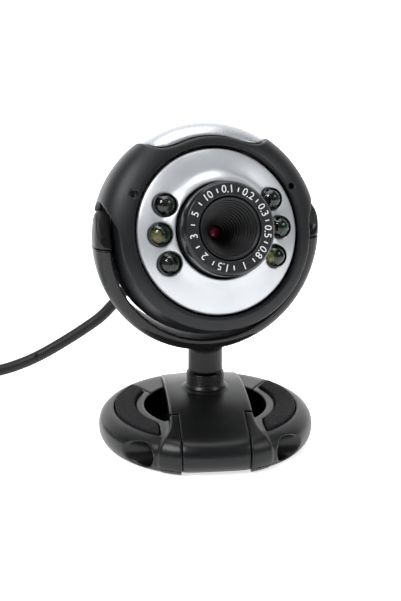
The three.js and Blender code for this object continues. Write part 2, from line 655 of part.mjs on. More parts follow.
function makeLensHolder() {
  const back = boardFront + GAP;
  let holder = unite(
    block(-7.2, 7.2, -(back + 2.6), -back, -6, 6),
    rodForward(5.2, back, 5.0, 0, 0, 20),
  )
    .subtract(block(-4, 4, -(back + 1.6), -back + 1, -4, 4))
    .subtract(rodForward(BARREL_RADIUS + GAP, -10, 10, 0, 0, 16));
  for (const x of [-5.5, 5.5]) holder = holder.subtract(rodForward(1.1, -10, back + 2.0, x, 0));
  return toMesh('lens_holder', holder, satinBlack);
}

function makeHolderScrew(x) {
  const screw = unite(
    rodForward(1.7, BOARD_BACK - 1.3, BOARD_BACK - GAP, x, 0),
    rodForward(0.8, BOARD_BACK - 1, boardFront + 1.9, x, 0),
  );
  return toMesh(x > 0 ? 'holder_screw_right' : 'holder_screw_left', screw, steel);
}

function makeLensBarrel() {
  const back = 1.6;
  const flange = 5.9;
  const outline = [
    [1.4, back], [BARREL_RADIUS, back], [BARREL_RADIUS, flange], [4.0, flange],
    [4.0, BARREL_FRONT], [1.9, BARREL_FRONT], [1.9, BARREL_FRONT - 0.9], [1.4, BARREL_FRONT - 0.9],
  ];
  return toMesh('lens_barrel', faced(outline, 16), glossBlack);
}

function makeLensGlass() {
  const back = BARREL_FRONT - 0.6;
  const outline = [[0, back], [1.6, back], [1.6, BARREL_FRONT - 0.1], [1.1, BARREL_FRONT + 0.2],
    [0, BARREL_FRONT + 0.4]];
  return toMesh('lens_glass', faced(outline, SMALL_ROUND), glassRed);
}

function makeMicrophone() {
  return toMesh('microphone', rodForward(1.5, 4.6, 6.4, -MIC_X + 2.1, MIC_Z - 0.4), steel);
}

function makeBoardConnector() {
  const back = BOARD_BACK - GAP;
  return toMesh('board_connector', block(-4, 4, -back, -back + 3, -9.5, -5.5), whitePlastic);
}

const GLAND_NECK = 2.7;
const GLAND_FLANGE = 4.1;

// Tapered bend relief that the lead leaves the head through.
function makeCableGland() {
  const seat = -DOME_RADIUS - GAP;
  const outline = [
    [0, seat + 4.0], [GLAND_NECK, seat + 4.0], [GLAND_NECK, seat], [GLAND_FLANGE, seat],
    [GLAND_FLANGE, seat - 1.0], [GLAND_FLANGE - 0.5, seat - 1.5], [3.1, seat - 1.8],
    [CORD_RADIUS + 0.5, seat - RELIEF_LENGTH], [0, seat - RELIEF_LENGTH],
  ];
  return toMesh('cable_gland', faced(outline, 16), cableBlack);
}

// ---------------------------------------------------------------- lead
// Middle line from the bend relief to the coil: the tail of the head falls to the desk behind and
// to the left of the base.
const CORD_ROUTE = [
  [-6.9, 34.0, 43.5], [-7.6, 37.7, 42.3], [-8.9, 41.7, 40.2], [-10.9, 45.2, 37.1],
  [-13.6, 47.9, 33.4], [-16.6, 49.6, 29.3], [-19.7, 50.3, 25.2], [-23.0, 50.4, 21.3],
  [-26.8, 50.2, 17.6], [-32.2, 50.0, 13.9], [-38.1, 49.8, 10.3], [-44.5, 49.5, 6.8],
  [-50.6, 49.2, 4.2], [-56.8, 49.0, 2.4], [-62.8, 48.85, 1.8], [-69.0, 48.8, 1.75],
  [-75.2, 48.8, 1.75],
];

function makeCable() {
  const points = CORD_ROUTE.map(([x, y, z]) => new THREE.Vector3(x, y, z));
  const path = new THREE.CatmullRomCurve3(points, false, 'centripetal');
  const section = new THREE.Shape(arc(0, 0, CORD_RADIUS, CORD_RADIUS, 0, 315, 7)
    .map(([x, y]) => new THREE.Vector2(x, y)));
  const geometry = new THREE.ExtrudeGeometry(section, { steps: 26, extrudePath: path });
  return toMesh('cable', toSolid(geometry), cableBlack);
}

const coilWidth = COIL_TURNS_WIDE * CORD_RADIUS * 2;
const coilHeight = COIL_TURNS_HIGH * CORD_RADIUS * 2;

function makeCableCoil() {
  const inner = COIL_RADIUS - coilWidth / 2;
  const outer = COIL_RADIUS + coilWidth / 2;
  const soft = 1.2; // rounding of the bundle's edges
  const outline = [
    [inner, soft], [inner + soft, 0], [outer - soft, 0], [outer, soft],
    [outer, coilHeight - soft], [outer - soft, coilHeight], [inner + soft, coilHeight],
    [inner, coilHeight - soft],
  ];
  const geometry = revolve(outline, 28).translate(...COIL_CENTRE, 0);
  return toMesh('cable_coil', toSolid(geometry), cableBlack);
}

// The plug lies beside the coil, pointing towards the front.
const plugX = COIL_CENTRE[0] - COIL_RADIUS - CORD_RADIUS * (COIL_TURNS_WIDE - 1);
const plugAxis = PLUG_THICKNESS / 2;
const plugInset = COIL_CENTRE[0] - plugX - CORD_RADIUS - 0.4; // nearest side of the relief
const coilOuter = COIL_RADIUS + coilWidth / 2;
const plugStart = COIL_CENTRE[1] - Math.sqrt(coilOuter ** 2 - plugInset ** 2) - GAP;

function plugFrame(geometry, start) {
  return toSolid(geometry.rotateX(Math.PI / 2).translate(plugX, plugStart - start, plugAxis));
}

function makePlugRelief() {
  const outline = [[0, 0], [CORD_RADIUS + 0.4, 0], [3.4, PLUG_RELIEF], [0, PLUG_RELIEF]];
  return toMesh('plug_relief', plugFrame(revolve(outline, SMALL_ROUND), 0), cableBlack);
}

function roundedBar(width, height, length, corner) {
  const shape = new THREE.Shape([
    ...arc(width / 2 - corner, height / 2 - corner, corner, corner, 0, 90, 3),
    ...arc(corner - width / 2, height / 2 - corner, corner, corner, 90, 180, 3),
    ...arc(corner - width / 2, corner - height / 2, corner, corner, 180, 270, 3),
    ...arc(width / 2 - corner, corner - height / 2, corner, corner, 270, 360, 3),
  ].map(([x, y]) => new THREE.Vector2(x, y)));
  return new THREE.ExtrudeGeometry(shape, { depth: length, bevelEnabled: false });
}

function makePlugBody() {
  const bar = roundedBar(PLUG_WIDTH, PLUG_THICKNESS, PLUG_LENGTH, 1.8);
  return toMesh('usb_plug_body', plugFrame(bar, PLUG_RELIEF + GAP), cableBlack);
}

const shellStart = PLUG_RELIEF + PLUG_LENGTH + 2 * GAP;
const SHELL_WALL = 0.5;

function makePlugShell() {
  const bar = plugFrame(roundedBar(SHELL_WIDTH, SHELL_HEIGHT, SHELL_LENGTH, 0.4), shellStart);
  const inside = roundedBar(SHELL_WIDTH - 2 * SHELL_WALL, SHELL_HEIGHT - 2 * SHELL_WALL,
    SHELL_LENGTH, 0.3);
  return toMesh('usb_plug_shell', bar.subtract(plugFrame(inside, shellStart + 1)), nickel);
}

function makePlugTongue() {
  const start = shellStart + 1 + GAP;
  const tongue = roundedBar(SHELL_WIDTH - 2 * SHELL_WALL - 1, 1.5, SHELL_LENGTH - 1.6, 0.2);
  const solid = plugFrame(tongue.translate(0, -0.7, 0), start);
  return toMesh('usb_plug_tongue', solid, whitePlastic);
}

// ---------------------------------------------------------------- assembly
const webcam = new THREE.Group();

webcam.add(makeLowerJaw(), makeBottomPlate());
webcam.add(makeUpperJaw(), makeClipSpring(), makeCollar());
webcam.add(...sides.map(makePad), ...sides.map(makeHingePin));

const yokeGroup = new THREE.Group();
yokeGroup.position.z = BALL_HEIGHT;
yokeGroup.rotation.z = HEAD_YAW * DEG;
yokeGroup.add(makeYoke(), makeStemWasher(), makeStemScrew());
yokeGroup.add(...sides.map(makePivotCap), ...sides.map(makePivotPin));
webcam.add(yokeGroup);

const headGroup = new THREE.Group();
headGroup.rotation.x = -HEAD_TILT * DEG;
headGroup.add(makeFrontBezel(), makeRearShell(), makeFacePlate(), makeLedBoard());
headGroup.add(...ledSpots().map((spot, index) => makeLed(index, spot)));
headGroup.add(...screwSpots.map(makeShellScrew));
headGroup.add(makeFocusRing(), makeLensHood(), makeLensBarrel(), makeLensGlass());
headGroup.add(makeMainBoard(), makeImageSensor(), makeLensHolder(), makeBoardConnector());
headGroup.add(...[-5.5, 5.5].map(makeHolderScrew), makeMicrophone(), makeCableGland());
yokeGroup.add(headGroup);

webcam.add(makeCable(), makeCableCoil());
webcam.add(makePlugRelief(), makePlugBody(), makePlugShell(), makePlugTongue());

export default webcam;
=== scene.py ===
"""A ball webcam with six lamps on a round clip base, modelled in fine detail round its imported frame."""

import json
import math

import bpy
import numpy as np
from mathutils import Matrix, Vector


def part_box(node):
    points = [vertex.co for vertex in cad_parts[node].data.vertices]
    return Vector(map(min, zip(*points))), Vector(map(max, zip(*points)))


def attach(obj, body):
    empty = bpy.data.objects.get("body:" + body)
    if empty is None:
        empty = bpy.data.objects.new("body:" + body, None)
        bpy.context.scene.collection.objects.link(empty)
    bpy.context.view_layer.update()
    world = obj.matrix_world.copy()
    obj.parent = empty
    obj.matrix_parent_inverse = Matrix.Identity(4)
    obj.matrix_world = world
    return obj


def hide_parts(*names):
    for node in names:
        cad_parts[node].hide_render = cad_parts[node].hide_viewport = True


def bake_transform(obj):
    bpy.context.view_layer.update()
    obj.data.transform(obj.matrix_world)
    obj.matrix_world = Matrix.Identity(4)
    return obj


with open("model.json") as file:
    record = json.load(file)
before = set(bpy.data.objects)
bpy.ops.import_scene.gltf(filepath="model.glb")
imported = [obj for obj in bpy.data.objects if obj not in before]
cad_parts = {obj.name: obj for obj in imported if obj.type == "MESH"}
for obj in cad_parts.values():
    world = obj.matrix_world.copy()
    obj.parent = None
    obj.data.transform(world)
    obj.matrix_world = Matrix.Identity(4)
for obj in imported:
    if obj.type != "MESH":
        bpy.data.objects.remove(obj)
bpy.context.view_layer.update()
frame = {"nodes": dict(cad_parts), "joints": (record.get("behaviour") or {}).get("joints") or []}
MM = 0.001
joints = {joint["name"]: joint for joint in frame["joints"]}

# ------------------------------------------------------------------ places, from the frame
BALL = Vector(joints["head_tilt"]["pos_m"])
HINGE = Vector(joints["clip_open"]["pos_m"])
SIDE = -Vector(joints["head_tilt"]["axis"])
FORWARD = Vector(joints["focus_turn"]["axis"])


def placement(origin, x_axis, y_axis):
    """Turns millimetres in a part's own axes into metres in the row's frame."""
    turn = Matrix((x_axis, y_axis, x_axis.cross(y_axis))).transposed().to_4x4()
    return Matrix.Translation(origin) @ turn @ Matrix.Scale(MM, 4)


HEAD = placement(BALL, SIDE, -FORWARD)
YOKE = placement(BALL, SIDE, Vector((0, 0, 1)).cross(SIDE))
BASE = placement(Vector((0, 0, 0)), Vector((1, 0, 0)), Vector((0, 1, 0)))


# ------------------------------------------------------------------ camera
def make_camera():
    azimuth, elevation = math.radians(-6.0), math.radians(15.68)
    distance = 0.250
    back = Vector((
        math.sin(azimuth) * math.cos(elevation),
        -math.cos(azimuth) * math.cos(elevation),
        math.sin(elevation),
    ))
    right = Vector((0, 0, 1)).cross(back).normalized()
    up = back.cross(right)
    target = Vector((0, 0, 0.03624)) - right * 0.00121
    camera = bpy.data.objects.new("camera", bpy.data.cameras.new("camera"))
    camera.data.lens = 59.18
    camera.data.sensor_width = 36.0
    camera.data.clip_start = 0.01
    camera.matrix_world = Matrix.Translation(target + back * distance) @ Matrix(
        (right, up, back)).transposed().to_4x4()
    bpy.context.scene.collection.objects.link(camera)
    bpy.context.scene.camera = camera


make_camera()


# ------------------------------------------------------------------ materials
def new_material(name, color, roughness, metallic=0.0, coat=0.0, coat_roughness=0.1, ior=1.5):
    material = bpy.data.materials.new(name)
    material.use_nodes = True
    shader = material.node_tree.nodes["Principled BSDF"]
    shader.inputs["Base Color"].default_value = (*color, 1.0)
    shader.inputs["Roughness"].default_value = roughness
    shader.inputs["Metallic"].default_value = metallic
    shader.inputs["Coat Weight"].default_value = coat
    shader.inputs["Coat Roughness"].default_value = coat_roughness
    shader.inputs["IOR"].default_value = ior
    return material, material.node_tree, shader


def add_node(tree, kind, **values):
    node = tree.nodes.new(kind)
    for key, value in values.items():
        if key in node.inputs:
            node.inputs[key].default_value = value
        else:
            setattr(node, key, value)
    return node


def object_coordinates(tree):
    return tree.nodes.new("ShaderNodeTexCoord").outputs["Object"]


def noise(tree, scale, detail=3.0, roughness=0.55):
    node = add_node(tree, "ShaderNodeTexNoise", Scale=scale, Detail=detail, Roughness=roughness)
    tree.links.new(object_coordinates(tree), node.inputs["Vector"])
    return node.outputs["Fac"]


def cells(tree, scale, feature="F1"):
    node = add_node(tree, "ShaderNodeTexVoronoi", Scale=scale)
    node.feature = feature
    tree.links.new(object_coordinates(tree), node.inputs["Vector"])
    return node.outputs["Distance"]


def remap(tree, source, low, high, to_low, to_high):
    node = tree.nodes.new("ShaderNodeMapRange")
    for key, value in zip(("From Min", "From Max", "To Min", "To Max"), (low, high, to_low, to_high)):
        node.inputs[key].default_value = value
    tree.links.new(source, node.inputs["Value"])
    return node.outputs["Result"]


def ramp(tree, source, stops):
    node = tree.nodes.new("ShaderNodeValToRGB")
    elements = node.color_ramp.elements
    while len(elements) < len(stops):
        elements.new(0.5)
    for element, (place, color) in zip(elements, stops):
        element.position = place
        element.color = (*color, 1.0)
    tree.links.new(source, node.inputs["Fac"])
    return node.outputs["Color"]


def bump(tree, shader, height, strength, distance):
    node = add_node(tree, "ShaderNodeBump", Strength=strength, Distance=distance)
    tree.links.new(height, node.inputs["Height"])
    tree.links.new(node.outputs["Normal"], shader.inputs["Normal"])


def moulded(name, dark, light, rough_low, rough_high, grain, strength, patch=45.0):
    """Moulded plastic: spark-eroded grain, faint cloudy wear in colour and gloss."""
    material, tree, shader = new_material(name, dark, rough_low, ior=1.38 if max(dark) < 0.1 else 1.5)
    wear = noise(tree, patch, 4.0)
    tree.links.new(ramp(tree, wear, [(0.3, dark), (0.75, light)]), shader.inputs["Base Color"])
    tree.links.new(remap(tree, wear, 0.3, 0.7, rough_low, rough_high), shader.inputs["Roughness"])
    bump(tree, shader, noise(tree, grain, 2.0, 0.6), strength, 0.00008)
    return material


def metallic_paint(name, dark, light, roughness, flake_strength):
    """Silver lacquer: fine flakes in a clear coat, a little cloudiness."""
    material, tree, shader = new_material(name, light, roughness, 0.55, 0.35, 0.12)
    cloud = noise(tree, 60.0, 3.0)
    tree.links.new(ramp(tree, cloud, [(0.3, dark), (0.7, light)]), shader.inputs["Base Color"])
    tree.links.new(remap(tree, noise(tree, 2500.0, 1.0), 0.3, 0.7, roughness - 0.06, roughness + 0.08),
                   shader.inputs["Roughness"])
    bump(tree, shader, noise(tree, 5200.0, 1.0), flake_strength, 0.00005)
    return material


def metal(name, color, roughness):
    material, tree, shader = new_material(name, color, roughness, 1.0)
    marks = noise(tree, 700.0, 4.0)
    tree.links.new(remap(tree, marks, 0.3, 0.7, roughness * 0.7, roughness * 1.4),
                   shader.inputs["Roughness"])
    bump(tree, shader, marks, 0.08, 0.00003)
    return material


def foam_material():
    material, tree, shader = new_material("foam", (0.012, 0.012, 0.013), 0.95)
    pores = cells(tree, 2600.0)
    tree.links.new(ramp(tree, pores, [(0.1, (0.004, 0.004, 0.004)), (0.6, (0.022, 0.022, 0.024))]),
                   shader.inputs["Base Color"])
    shader.inputs["Specular IOR Level"].default_value = 0.25
    bump(tree, shader, pores, 0.7, 0.0003)
    return material


def glass(name, color, roughness=0.02):
    material, tree, shader = new_material(name, color, roughness)
    shader.inputs["Transmission Weight"].default_value = 1.0
    tree.links.new(remap(tree, noise(tree, 900.0), 0.3, 0.7, roughness, roughness + 0.03),
                   shader.inputs["Roughness"])
    return material


def board_material():
    material, tree, shader = new_material("board", (0.015, 0.11, 0.04), 0.4)
    tracks = cells(tree, 900.0, "DISTANCE_TO_EDGE")
    tree.links.new(ramp(tree, tracks, [(0.02, (0.03, 0.2, 0.08)), (0.08, (0.012, 0.09, 0.035))]),
                   shader.inputs["Base Color"])
    bump(tree, shader, tracks, 0.2, 0.00005)
    return material


def lens_material():
    material, tree, shader = new_material("lens_red", (0.42, 0.012, 0.06), 0.08, 0.0, 1.0, 0.02)
    glow = noise(tree, 900.0, 2.0)
    tree.links.new(ramp(tree, glow, [(0.3, (0.35, 0.008, 0.05)), (0.7, (0.5, 0.02, 0.08))]),
                   shader.inputs["Base Color"])
    return material


BLACK = (0.006, 0.0065, 0.0078)
mats = {
    "satin": moulded("satin_black", BLACK, (0.009, 0.0096, 0.0112), 0.34, 0.44, 2600.0, 0.28),
    "yoke": moulded("yoke_black", (0.006, 0.006, 0.0065), (0.009, 0.009, 0.0097), 0.36, 0.46, 3000.0, 0.2),
    "edge": moulded("polished_edge", (0.008, 0.008, 0.009), (0.011, 0.011, 0.012), 0.08, 0.14, 900.0, 0.02),
    "base": moulded("base_black", (0.0052, 0.0054, 0.006), (0.008, 0.0082, 0.009), 0.28, 0.38, 2400.0, 0.2),
    "gloss": moulded("gloss_black", (0.009, 0.009, 0.01), (0.012, 0.012, 0.013), 0.16, 0.24, 1800.0, 0.05),
    "dial": moulded("dial_black", (0.011, 0.012, 0.014), (0.017, 0.018, 0.021), 0.4, 0.5, 3200.0, 0.3),
    "hood": moulded("hood_black", (0.006, 0.006, 0.007), (0.009, 0.009, 0.01), 0.36, 0.48, 2200.0, 0.12),
    "silver": metallic_paint("silver_lacquer", (0.50, 0.515, 0.54), (0.58, 0.595, 0.62), 0.34, 0.16),
    "pearl": metallic_paint("pearl_silver", (0.42, 0.435, 0.46), (0.49, 0.505, 0.53), 0.32, 0.03),
    "foam": foam_material(),
    "steel": metal("steel", (0.55, 0.55, 0.57), 0.3),
    "nickel": metal("nickel", (0.66, 0.65, 0.62), 0.22),
    "lamp": glass("lamp_epoxy", (0.93, 0.97, 0.92)),
    "phosphor": moulded("phosphor", (0.42, 0.40, 0.09), (0.62, 0.6, 0.2), 0.5, 0.6, 1500.0, 0.1, 500.0),
    # painted shade: a dark die for four of the lamps, standing in for the darker look their reflections
    # give them
    "die_painted_shade": moulded("dark_die_painted_shade", (0.02, 0.03, 0.028), (0.05, 0.06, 0.055), 0.2, 0.3, 1500.0, 0.1, 500.0),
    "cup": metal("lamp_cup", (0.12, 0.13, 0.13), 0.25),
    "board": board_material(),
    "cable": moulded("cable_pvc", (0.005, 0.005, 0.0055), (0.008, 0.008, 0.0085), 0.42, 0.55, 1500.0, 0.15),
    "print": moulded("white_print", (0.66, 0.67, 0.68), (0.76, 0.77, 0.78), 0.5, 0.6, 2500.0, 0.1, 300.0),
    "white": moulded("white_plastic", (0.66, 0.66, 0.62), (0.74, 0.74, 0.7), 0.4, 0.5, 1500.0, 0.1),
    "lens": lens_material(),
}


# ------------------------------------------------------------------ mesh making
def piece(name, vertices, faces, place, body, material, hides=(), smooth=True):
    """A mesh in its part's own millimetres, placed in the frame and riding on a body."""
    mesh = bpy.data.meshes.new(name)
    mesh.from_pydata([tuple(v) for v in vertices], [], [tuple(f) for f in faces])
    mesh.transform(place)
    mesh.polygons.foreach_set("use_smooth", [smooth] * len(mesh.polygons))
    mesh.update()
    obj = bpy.data.objects.new(name, mesh)
    bpy.context.scene.collection.objects.link(obj)
    obj.data.materials.append(mats[material])
    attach(obj, body)
    if hides:
        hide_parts(*hides)
    return obj


def skin(distance, low, high, step):
    """The surface where a distance field crosses zero, as (points, quads), edges kept soft."""
    low = np.array(low, float)
    counts = np.ceil((np.array(high, float) - low) / step).astype(int) + 1
    axes = [low[i] + step * np.arange(counts[i]) for i in range(3)]
    value = np.broadcast_to(distance(*np.meshgrid(*axes, indexing="ij", sparse=True)), counts)
    shape = counts - 1
    total = np.zeros((shape.prod(), 3))
    hits = np.zeros(shape.prod())
    quads = []
    steps = np.eye(3, dtype=int)
    for axis in range(3):
        along, u, v = steps[axis], steps[(axis + 1) % 3], steps[(axis + 2) % 3]
        first = np.take(value, range(counts[axis] - 1), axis)
        second = np.take(value, range(1, counts[axis]), axis)
        start = np.argwhere((first < 0) != (second < 0))
        from_value = first[tuple(start.T)]
        share = from_value / (from_value - second[tuple(start.T)])
        crossing = start + share[:, None] * along
        around = np.stack([start, start - u, start - u - v, start - v])
        flat = np.stack([np.ravel_multi_index(c.T, shape) for c in around])
        for index in flat:
            hits += np.bincount(index, minlength=len(hits))
            for k in range(3):
                total[:, k] += np.bincount(index, crossing[:, k], len(hits))
        outward = np.where((from_value < 0)[None], flat, flat[::-1])
        quads.append(outward.T)
    used = hits > 0
    number = np.cumsum(used) - 1
    points = low + step * total[used] / hits[used][:, None]
    for _ in range(3):
        points -= toward_surface(distance, points, step)
    return points, number[np.concatenate(quads)]


def toward_surface(distance, points, step):
    reach = step * 0.1
    value = distance(*points.T)
    slope = np.stack([
        (distance(*(points + reach * e).T) - distance(*(points - reach * e).T)) / (2 * reach)
        for e in np.eye(3)
    ], axis=1)
    move = slope * (value / np.maximum((slope ** 2).sum(1), 0.3))[:, None]
    return np.clip(move, -step / 2, step / 2)


def turned(outline, segments=96):
    """A closed outline of (radius, height) points turned about Z.  Radius 0 is on the axis."""
    area = sum(a[0] * b[1] - b[0] * a[1] for a, b in zip(outline, outline[1:] + outline[:1]))
    points = list(outline) if area > 0 else list(outline)[::-1]
    vertices, rings = [], []
    for radius, height in points:
        if radius < 1e-6:
            rings.append([len(vertices)] * segments)
            vertices.append((0.0, 0.0, height))
            continue
        rings.append(list(range(len(vertices), len(vertices) + segments)))
        for i in range(segments):
            angle = 2 * math.pi * i / segments
            vertices.append((radius * math.cos(angle), radius * math.sin(angle), height))
    faces = []
    for a, b in zip(rings, rings[1:] + rings[:1]):
        for i in range(segments):
            j = (i + 1) % segments
            corners = list(dict.fromkeys((a[i], a[j], b[j], b[i])))
            if len(corners) > 2:
                faces.append(corners)
    return np.array(vertices), faces


def facing(mesh):
    """Lays a turned mesh along the head's axis, its height pointing forward (-Y)."""
    points, faces = mesh
    return np.stack([points[:, 0], -points[:, 2], points[:, 1]], axis=1), faces


def softened(outline, radius, steps=3):
    """Rounds each corner of a closed outline by about the radius given."""
    result = []
    for i, corner in enumerate(outline):
        before, after = outline[i - 1], outline[(i + 1) % len(outline)]
        if corner[0] < 1e-6:
            result.append(corner)
            continue
        ends = []
        for other in (before, after):
            length = math.dist(corner, other)
            part = min(radius, length * 0.4) / length
            ends.append((corner[0] + (other[0] - corner[0]) * part,
                         corner[1] + (other[1] - corner[1]) * part))
        for k in range(steps + 1):
            t = k / steps
            result.append(tuple(
                (1 - t) ** 2 * ends[0][n] + 2 * t * (1 - t) * corner[n] + t * t * ends[1][n]
                for n in (0, 1)))
    return result


# ------------------------------------------------------------------ distance fields
def smooth_max(a, b, k):
    blend = np.maximum(k - np.abs(a - b), 0) / k
    return np.maximum(a, b) + blend * blend * k / 4


def smooth_min(a, b, k):
    return -smooth_max(-a, -b, k)


def cut(a, b, k):
    return smooth_max(a, -b, k)


def flattened_ball(x, y, z, radius, depth):
    """A ball whose front half (-Y) is flattened to the depth given, with a squarer shoulder."""
    across = np.hypot(x, z)
    u, v = np.maximum(across / radius, 1e-4), np.maximum(np.maximum(-y, 0) / depth, 1e-4)
    size = np.maximum(u ** FULLNESS + v ** FULLNESS, 1e-6)
    slope = np.hypot(u ** (FULLNESS - 1) / radius, v ** (FULLNESS - 1) / depth)
    slope = slope / size ** ((FULLNESS - 1) / FULLNESS)
    front = (size ** (1 / FULLNESS) - 1) / np.maximum(slope, 1e-3)
    rear = np.sqrt(across * across + y * y) - radius
    return np.where(y < 0, front, rear)


def curved(points, steps=5):
    """Points along a smooth line through the given ones."""
    ends = [points[0]] + list(points) + [points[-1]]
    line = []
    for i in range(1, len(ends) - 2):
        p0, p1, p2, p3 = (np.array(ends[i + k], float) for k in (-1, 0, 1, 2))
        for t in np.arange(steps) / steps:
            line.append(tuple(0.5 * (2 * p1 + (p2 - p0) * t + (2 * p0 - 5 * p1 + 4 * p2 - p3) * t * t
                                     + (3 * p1 - p0 - 3 * p2 + p3) * t ** 3)))
    return line + [tuple(points[-1])]


def polygon(a, b, corners):
    """Signed distance to a polygon in a plane, negative inside."""
    a, b = np.broadcast_arrays(a, b)
    best = np.full(a.shape, np.inf)
    inside = np.zeros(a.shape, bool)
    for (a0, b0), (a1, b1) in zip(corners, corners[1:] + corners[:1]):
        da, db = a1 - a0, b1 - b0
        t = np.clip(((a - a0) * da + (b - b0) * db) / (da * da + db * db), 0, 1)
        best = np.minimum(best, (a - a0 - t * da) ** 2 + (b - b0 - t * db) ** 2)
        if b0 != b1:
            crosses = (b0 > b) != (b1 > b)
            inside ^= crosses & (a < da * (b - b0) / db + a0)
    return np.where(inside, -1, 1) * np.sqrt(best)


def slab(value, low, high):
    return np.maximum(low - value, value - high)


def rod(a, b, radius):
    return np.hypot(a, b) - radius


# ------------------------------------------------------------------ head
BEZEL = 28.1
BEZEL_DEPTH = 12.4
BEZEL_BACK = 6.0
FULLNESS = 3.6
DOME = 27.4
BELLY = 24.6
CHANNEL = 9.5
CHANNEL_BACK = math.radians(40.0)
OPENING = 20.5
MIC_X, MIC_Z = 19.6, 9.9
SCREW_X, SCREW_Z = 16.8, 15.4


def channel(y, z, grow=0.0):
    """Room for the yoke: a round hole about the tilt axis that opens downwards."""
    radius = CHANNEL + grow
    ahead = -(CHANNEL + grow) - y
    behind = y * math.cos(CHANNEL_BACK) + z * math.sin(CHANNEL_BACK) - radius
    under = np.minimum(z * math.cos(CHANNEL_BACK) - y * math.sin(CHANNEL_BACK), np.maximum(y, z))
    return np.minimum(np.hypot(y, z) - radius, np.maximum(np.maximum(ahead, behind), under))


def scallop(x, z, grow=0.0):
    """The wavy notch in the bezel's top, seen from the front: a crest between two dips."""
    across = np.abs(x)
    wave = 21.7 + 1.15 * np.cos(np.pi * (np.minimum(across, 11.6) / 11.6) ** 1.25)
    wave = wave + 0.0956 * np.maximum(across - 11.6, 0) ** 2
    return smooth_max(wave + grow - z, across - 16.4 + grow, 1.6)


def bezel_field(x, y, z):
    across = np.hypot(x, z)
    ring = cut(flattened_ball(x, y, z, BEZEL, BEZEL_DEPTH),
               flattened_ball(x, y, z, BEZEL - 1.8, BEZEL_DEPTH - 1.8), 0.3)
    ring = smooth_max(ring, y - BEZEL_BACK, 0.5)
    ring = smooth_max(ring, OPENING - across, 0.7)
    ring = cut(ring, channel(y, z), 0.7)
    ring = cut(ring, scallop(x, z), 0.6)
    centre = np.sqrt(x * x + y * y + z * z)
    belly = np.maximum(np.abs(centre - BELLY + 0.9) - 0.9, channel(y, z, 1.3))
    belly = np.maximum(belly, -CHANNEL - 0.8 - y)
    whole = smooth_min(ring, belly, 0.3)
    for side in (-1, 1):
        whole = cut(whole, np.maximum(rod(x - side * MIC_X, z - MIC_Z, 0.85), y), 0.25)
        whole = cut(whole, np.maximum(rod(y, z, 1.9), 15 - side * x), 0.3)
    return whole


def dome_field(x, y, z):
    shell = cut(flattened_ball(x, y, z, DOME, BEZEL_DEPTH - 0.7),
                flattened_ball(x, y, z, DOME - 1.6, BEZEL_DEPTH - 2.3), 0.3)
    tongue = np.maximum(scallop(x, z, 0.3), np.maximum(-9.4 - y, -z))
    shell = smooth_max(shell, np.minimum(BEZEL_BACK + 0.3 - y, tongue), 0.4)
    shell = cut(shell, channel(y, z), 0.7)
    for side in (-1, 1):
        around = rod(x - side * SCREW_X, z - SCREW_Z, 3.2)
        post = np.maximum(np.maximum(around, 9.0 - y), flattened_ball(x, y, z, DOME - 0.4, BEZEL_DEPTH - 1))
        shell = smooth_min(shell, post, 0.4)
        recess = np.maximum(rod(x - side * SCREW_X, z - SCREW_Z, 2.2), 10.0 - y)
        shell = cut(shell, recess, 0.4)
    return cut(shell, np.maximum(np.hypot(x, z) - 3.0, 20 - y), 0.4)


def make_shells():
    points, quads = skin(bezel_field, (-29, -18, -29), (29, 27, 29), 0.4)
    piece("bezel", points, quads, HEAD, "head", "satin", ["front_bezel"])
    points, quads = skin(dome_field, (-28.5, -11, -26), (28.5, 28.5, 28.5), 0.4)
    piece("dome", points, quads, HEAD, "head", "pearl", ["rear_shell"])


FACE = 19.9
FACE_EDGE = 10.4
FACE_RISE = 4.0
RING = 11.1
RING_FRONT = 19.9
LED_CIRCLE = 14.8
LED_PITCH = 27.5


def lamp_places():
    for side in (-1, 1):
        for step in (1, 0, -1):
            angle = math.radians(step * LED_PITCH)
            yield side * LED_CIRCLE * math.cos(angle), LED_CIRCLE * math.sin(angle)


def face_height(across):
    """How far forward the plate stands: a shallow dish that swells into a boss round the ring."""
    share = np.clip((FACE - across) / (FACE - RING - 0.4), 0, 1)
    boss = 1 / (1 + np.exp((across - 13.3) * 2.2))
    return FACE_EDGE + (FACE_RISE - 0.9) * share ** 0.85 + 0.9 * boss


def face_field(x, y, z):
    across = np.hypot(x, z)
    top = face_height(across)
    plate = smooth_max((-y - top) * 0.9, (top - 1.3 + y) * 0.9, 0.3)
    plate = smooth_max(plate, slab(across, RING + 0.4, FACE), 0.45)
    for spot_x, spot_z in lamp_places():
        plate = cut(plate, rod(x - spot_x, z - spot_z, 2.78), 0.3)
    return plate


def make_face():
    points, quads = skin(face_field, (-20.6, -15.4, -20.6), (20.6, -8, 20.6), 0.24)
    piece("face", points, quads, HEAD, "head", "silver", ["face_plate"])


def arc_points(a, b, radius, start, end, steps):
    return [(a + radius * math.cos(math.radians(start + (end - start) * i / steps)),
             b + radius * math.sin(math.radians(start + (end - start) * i / steps)))
            for i in range(steps + 1)]


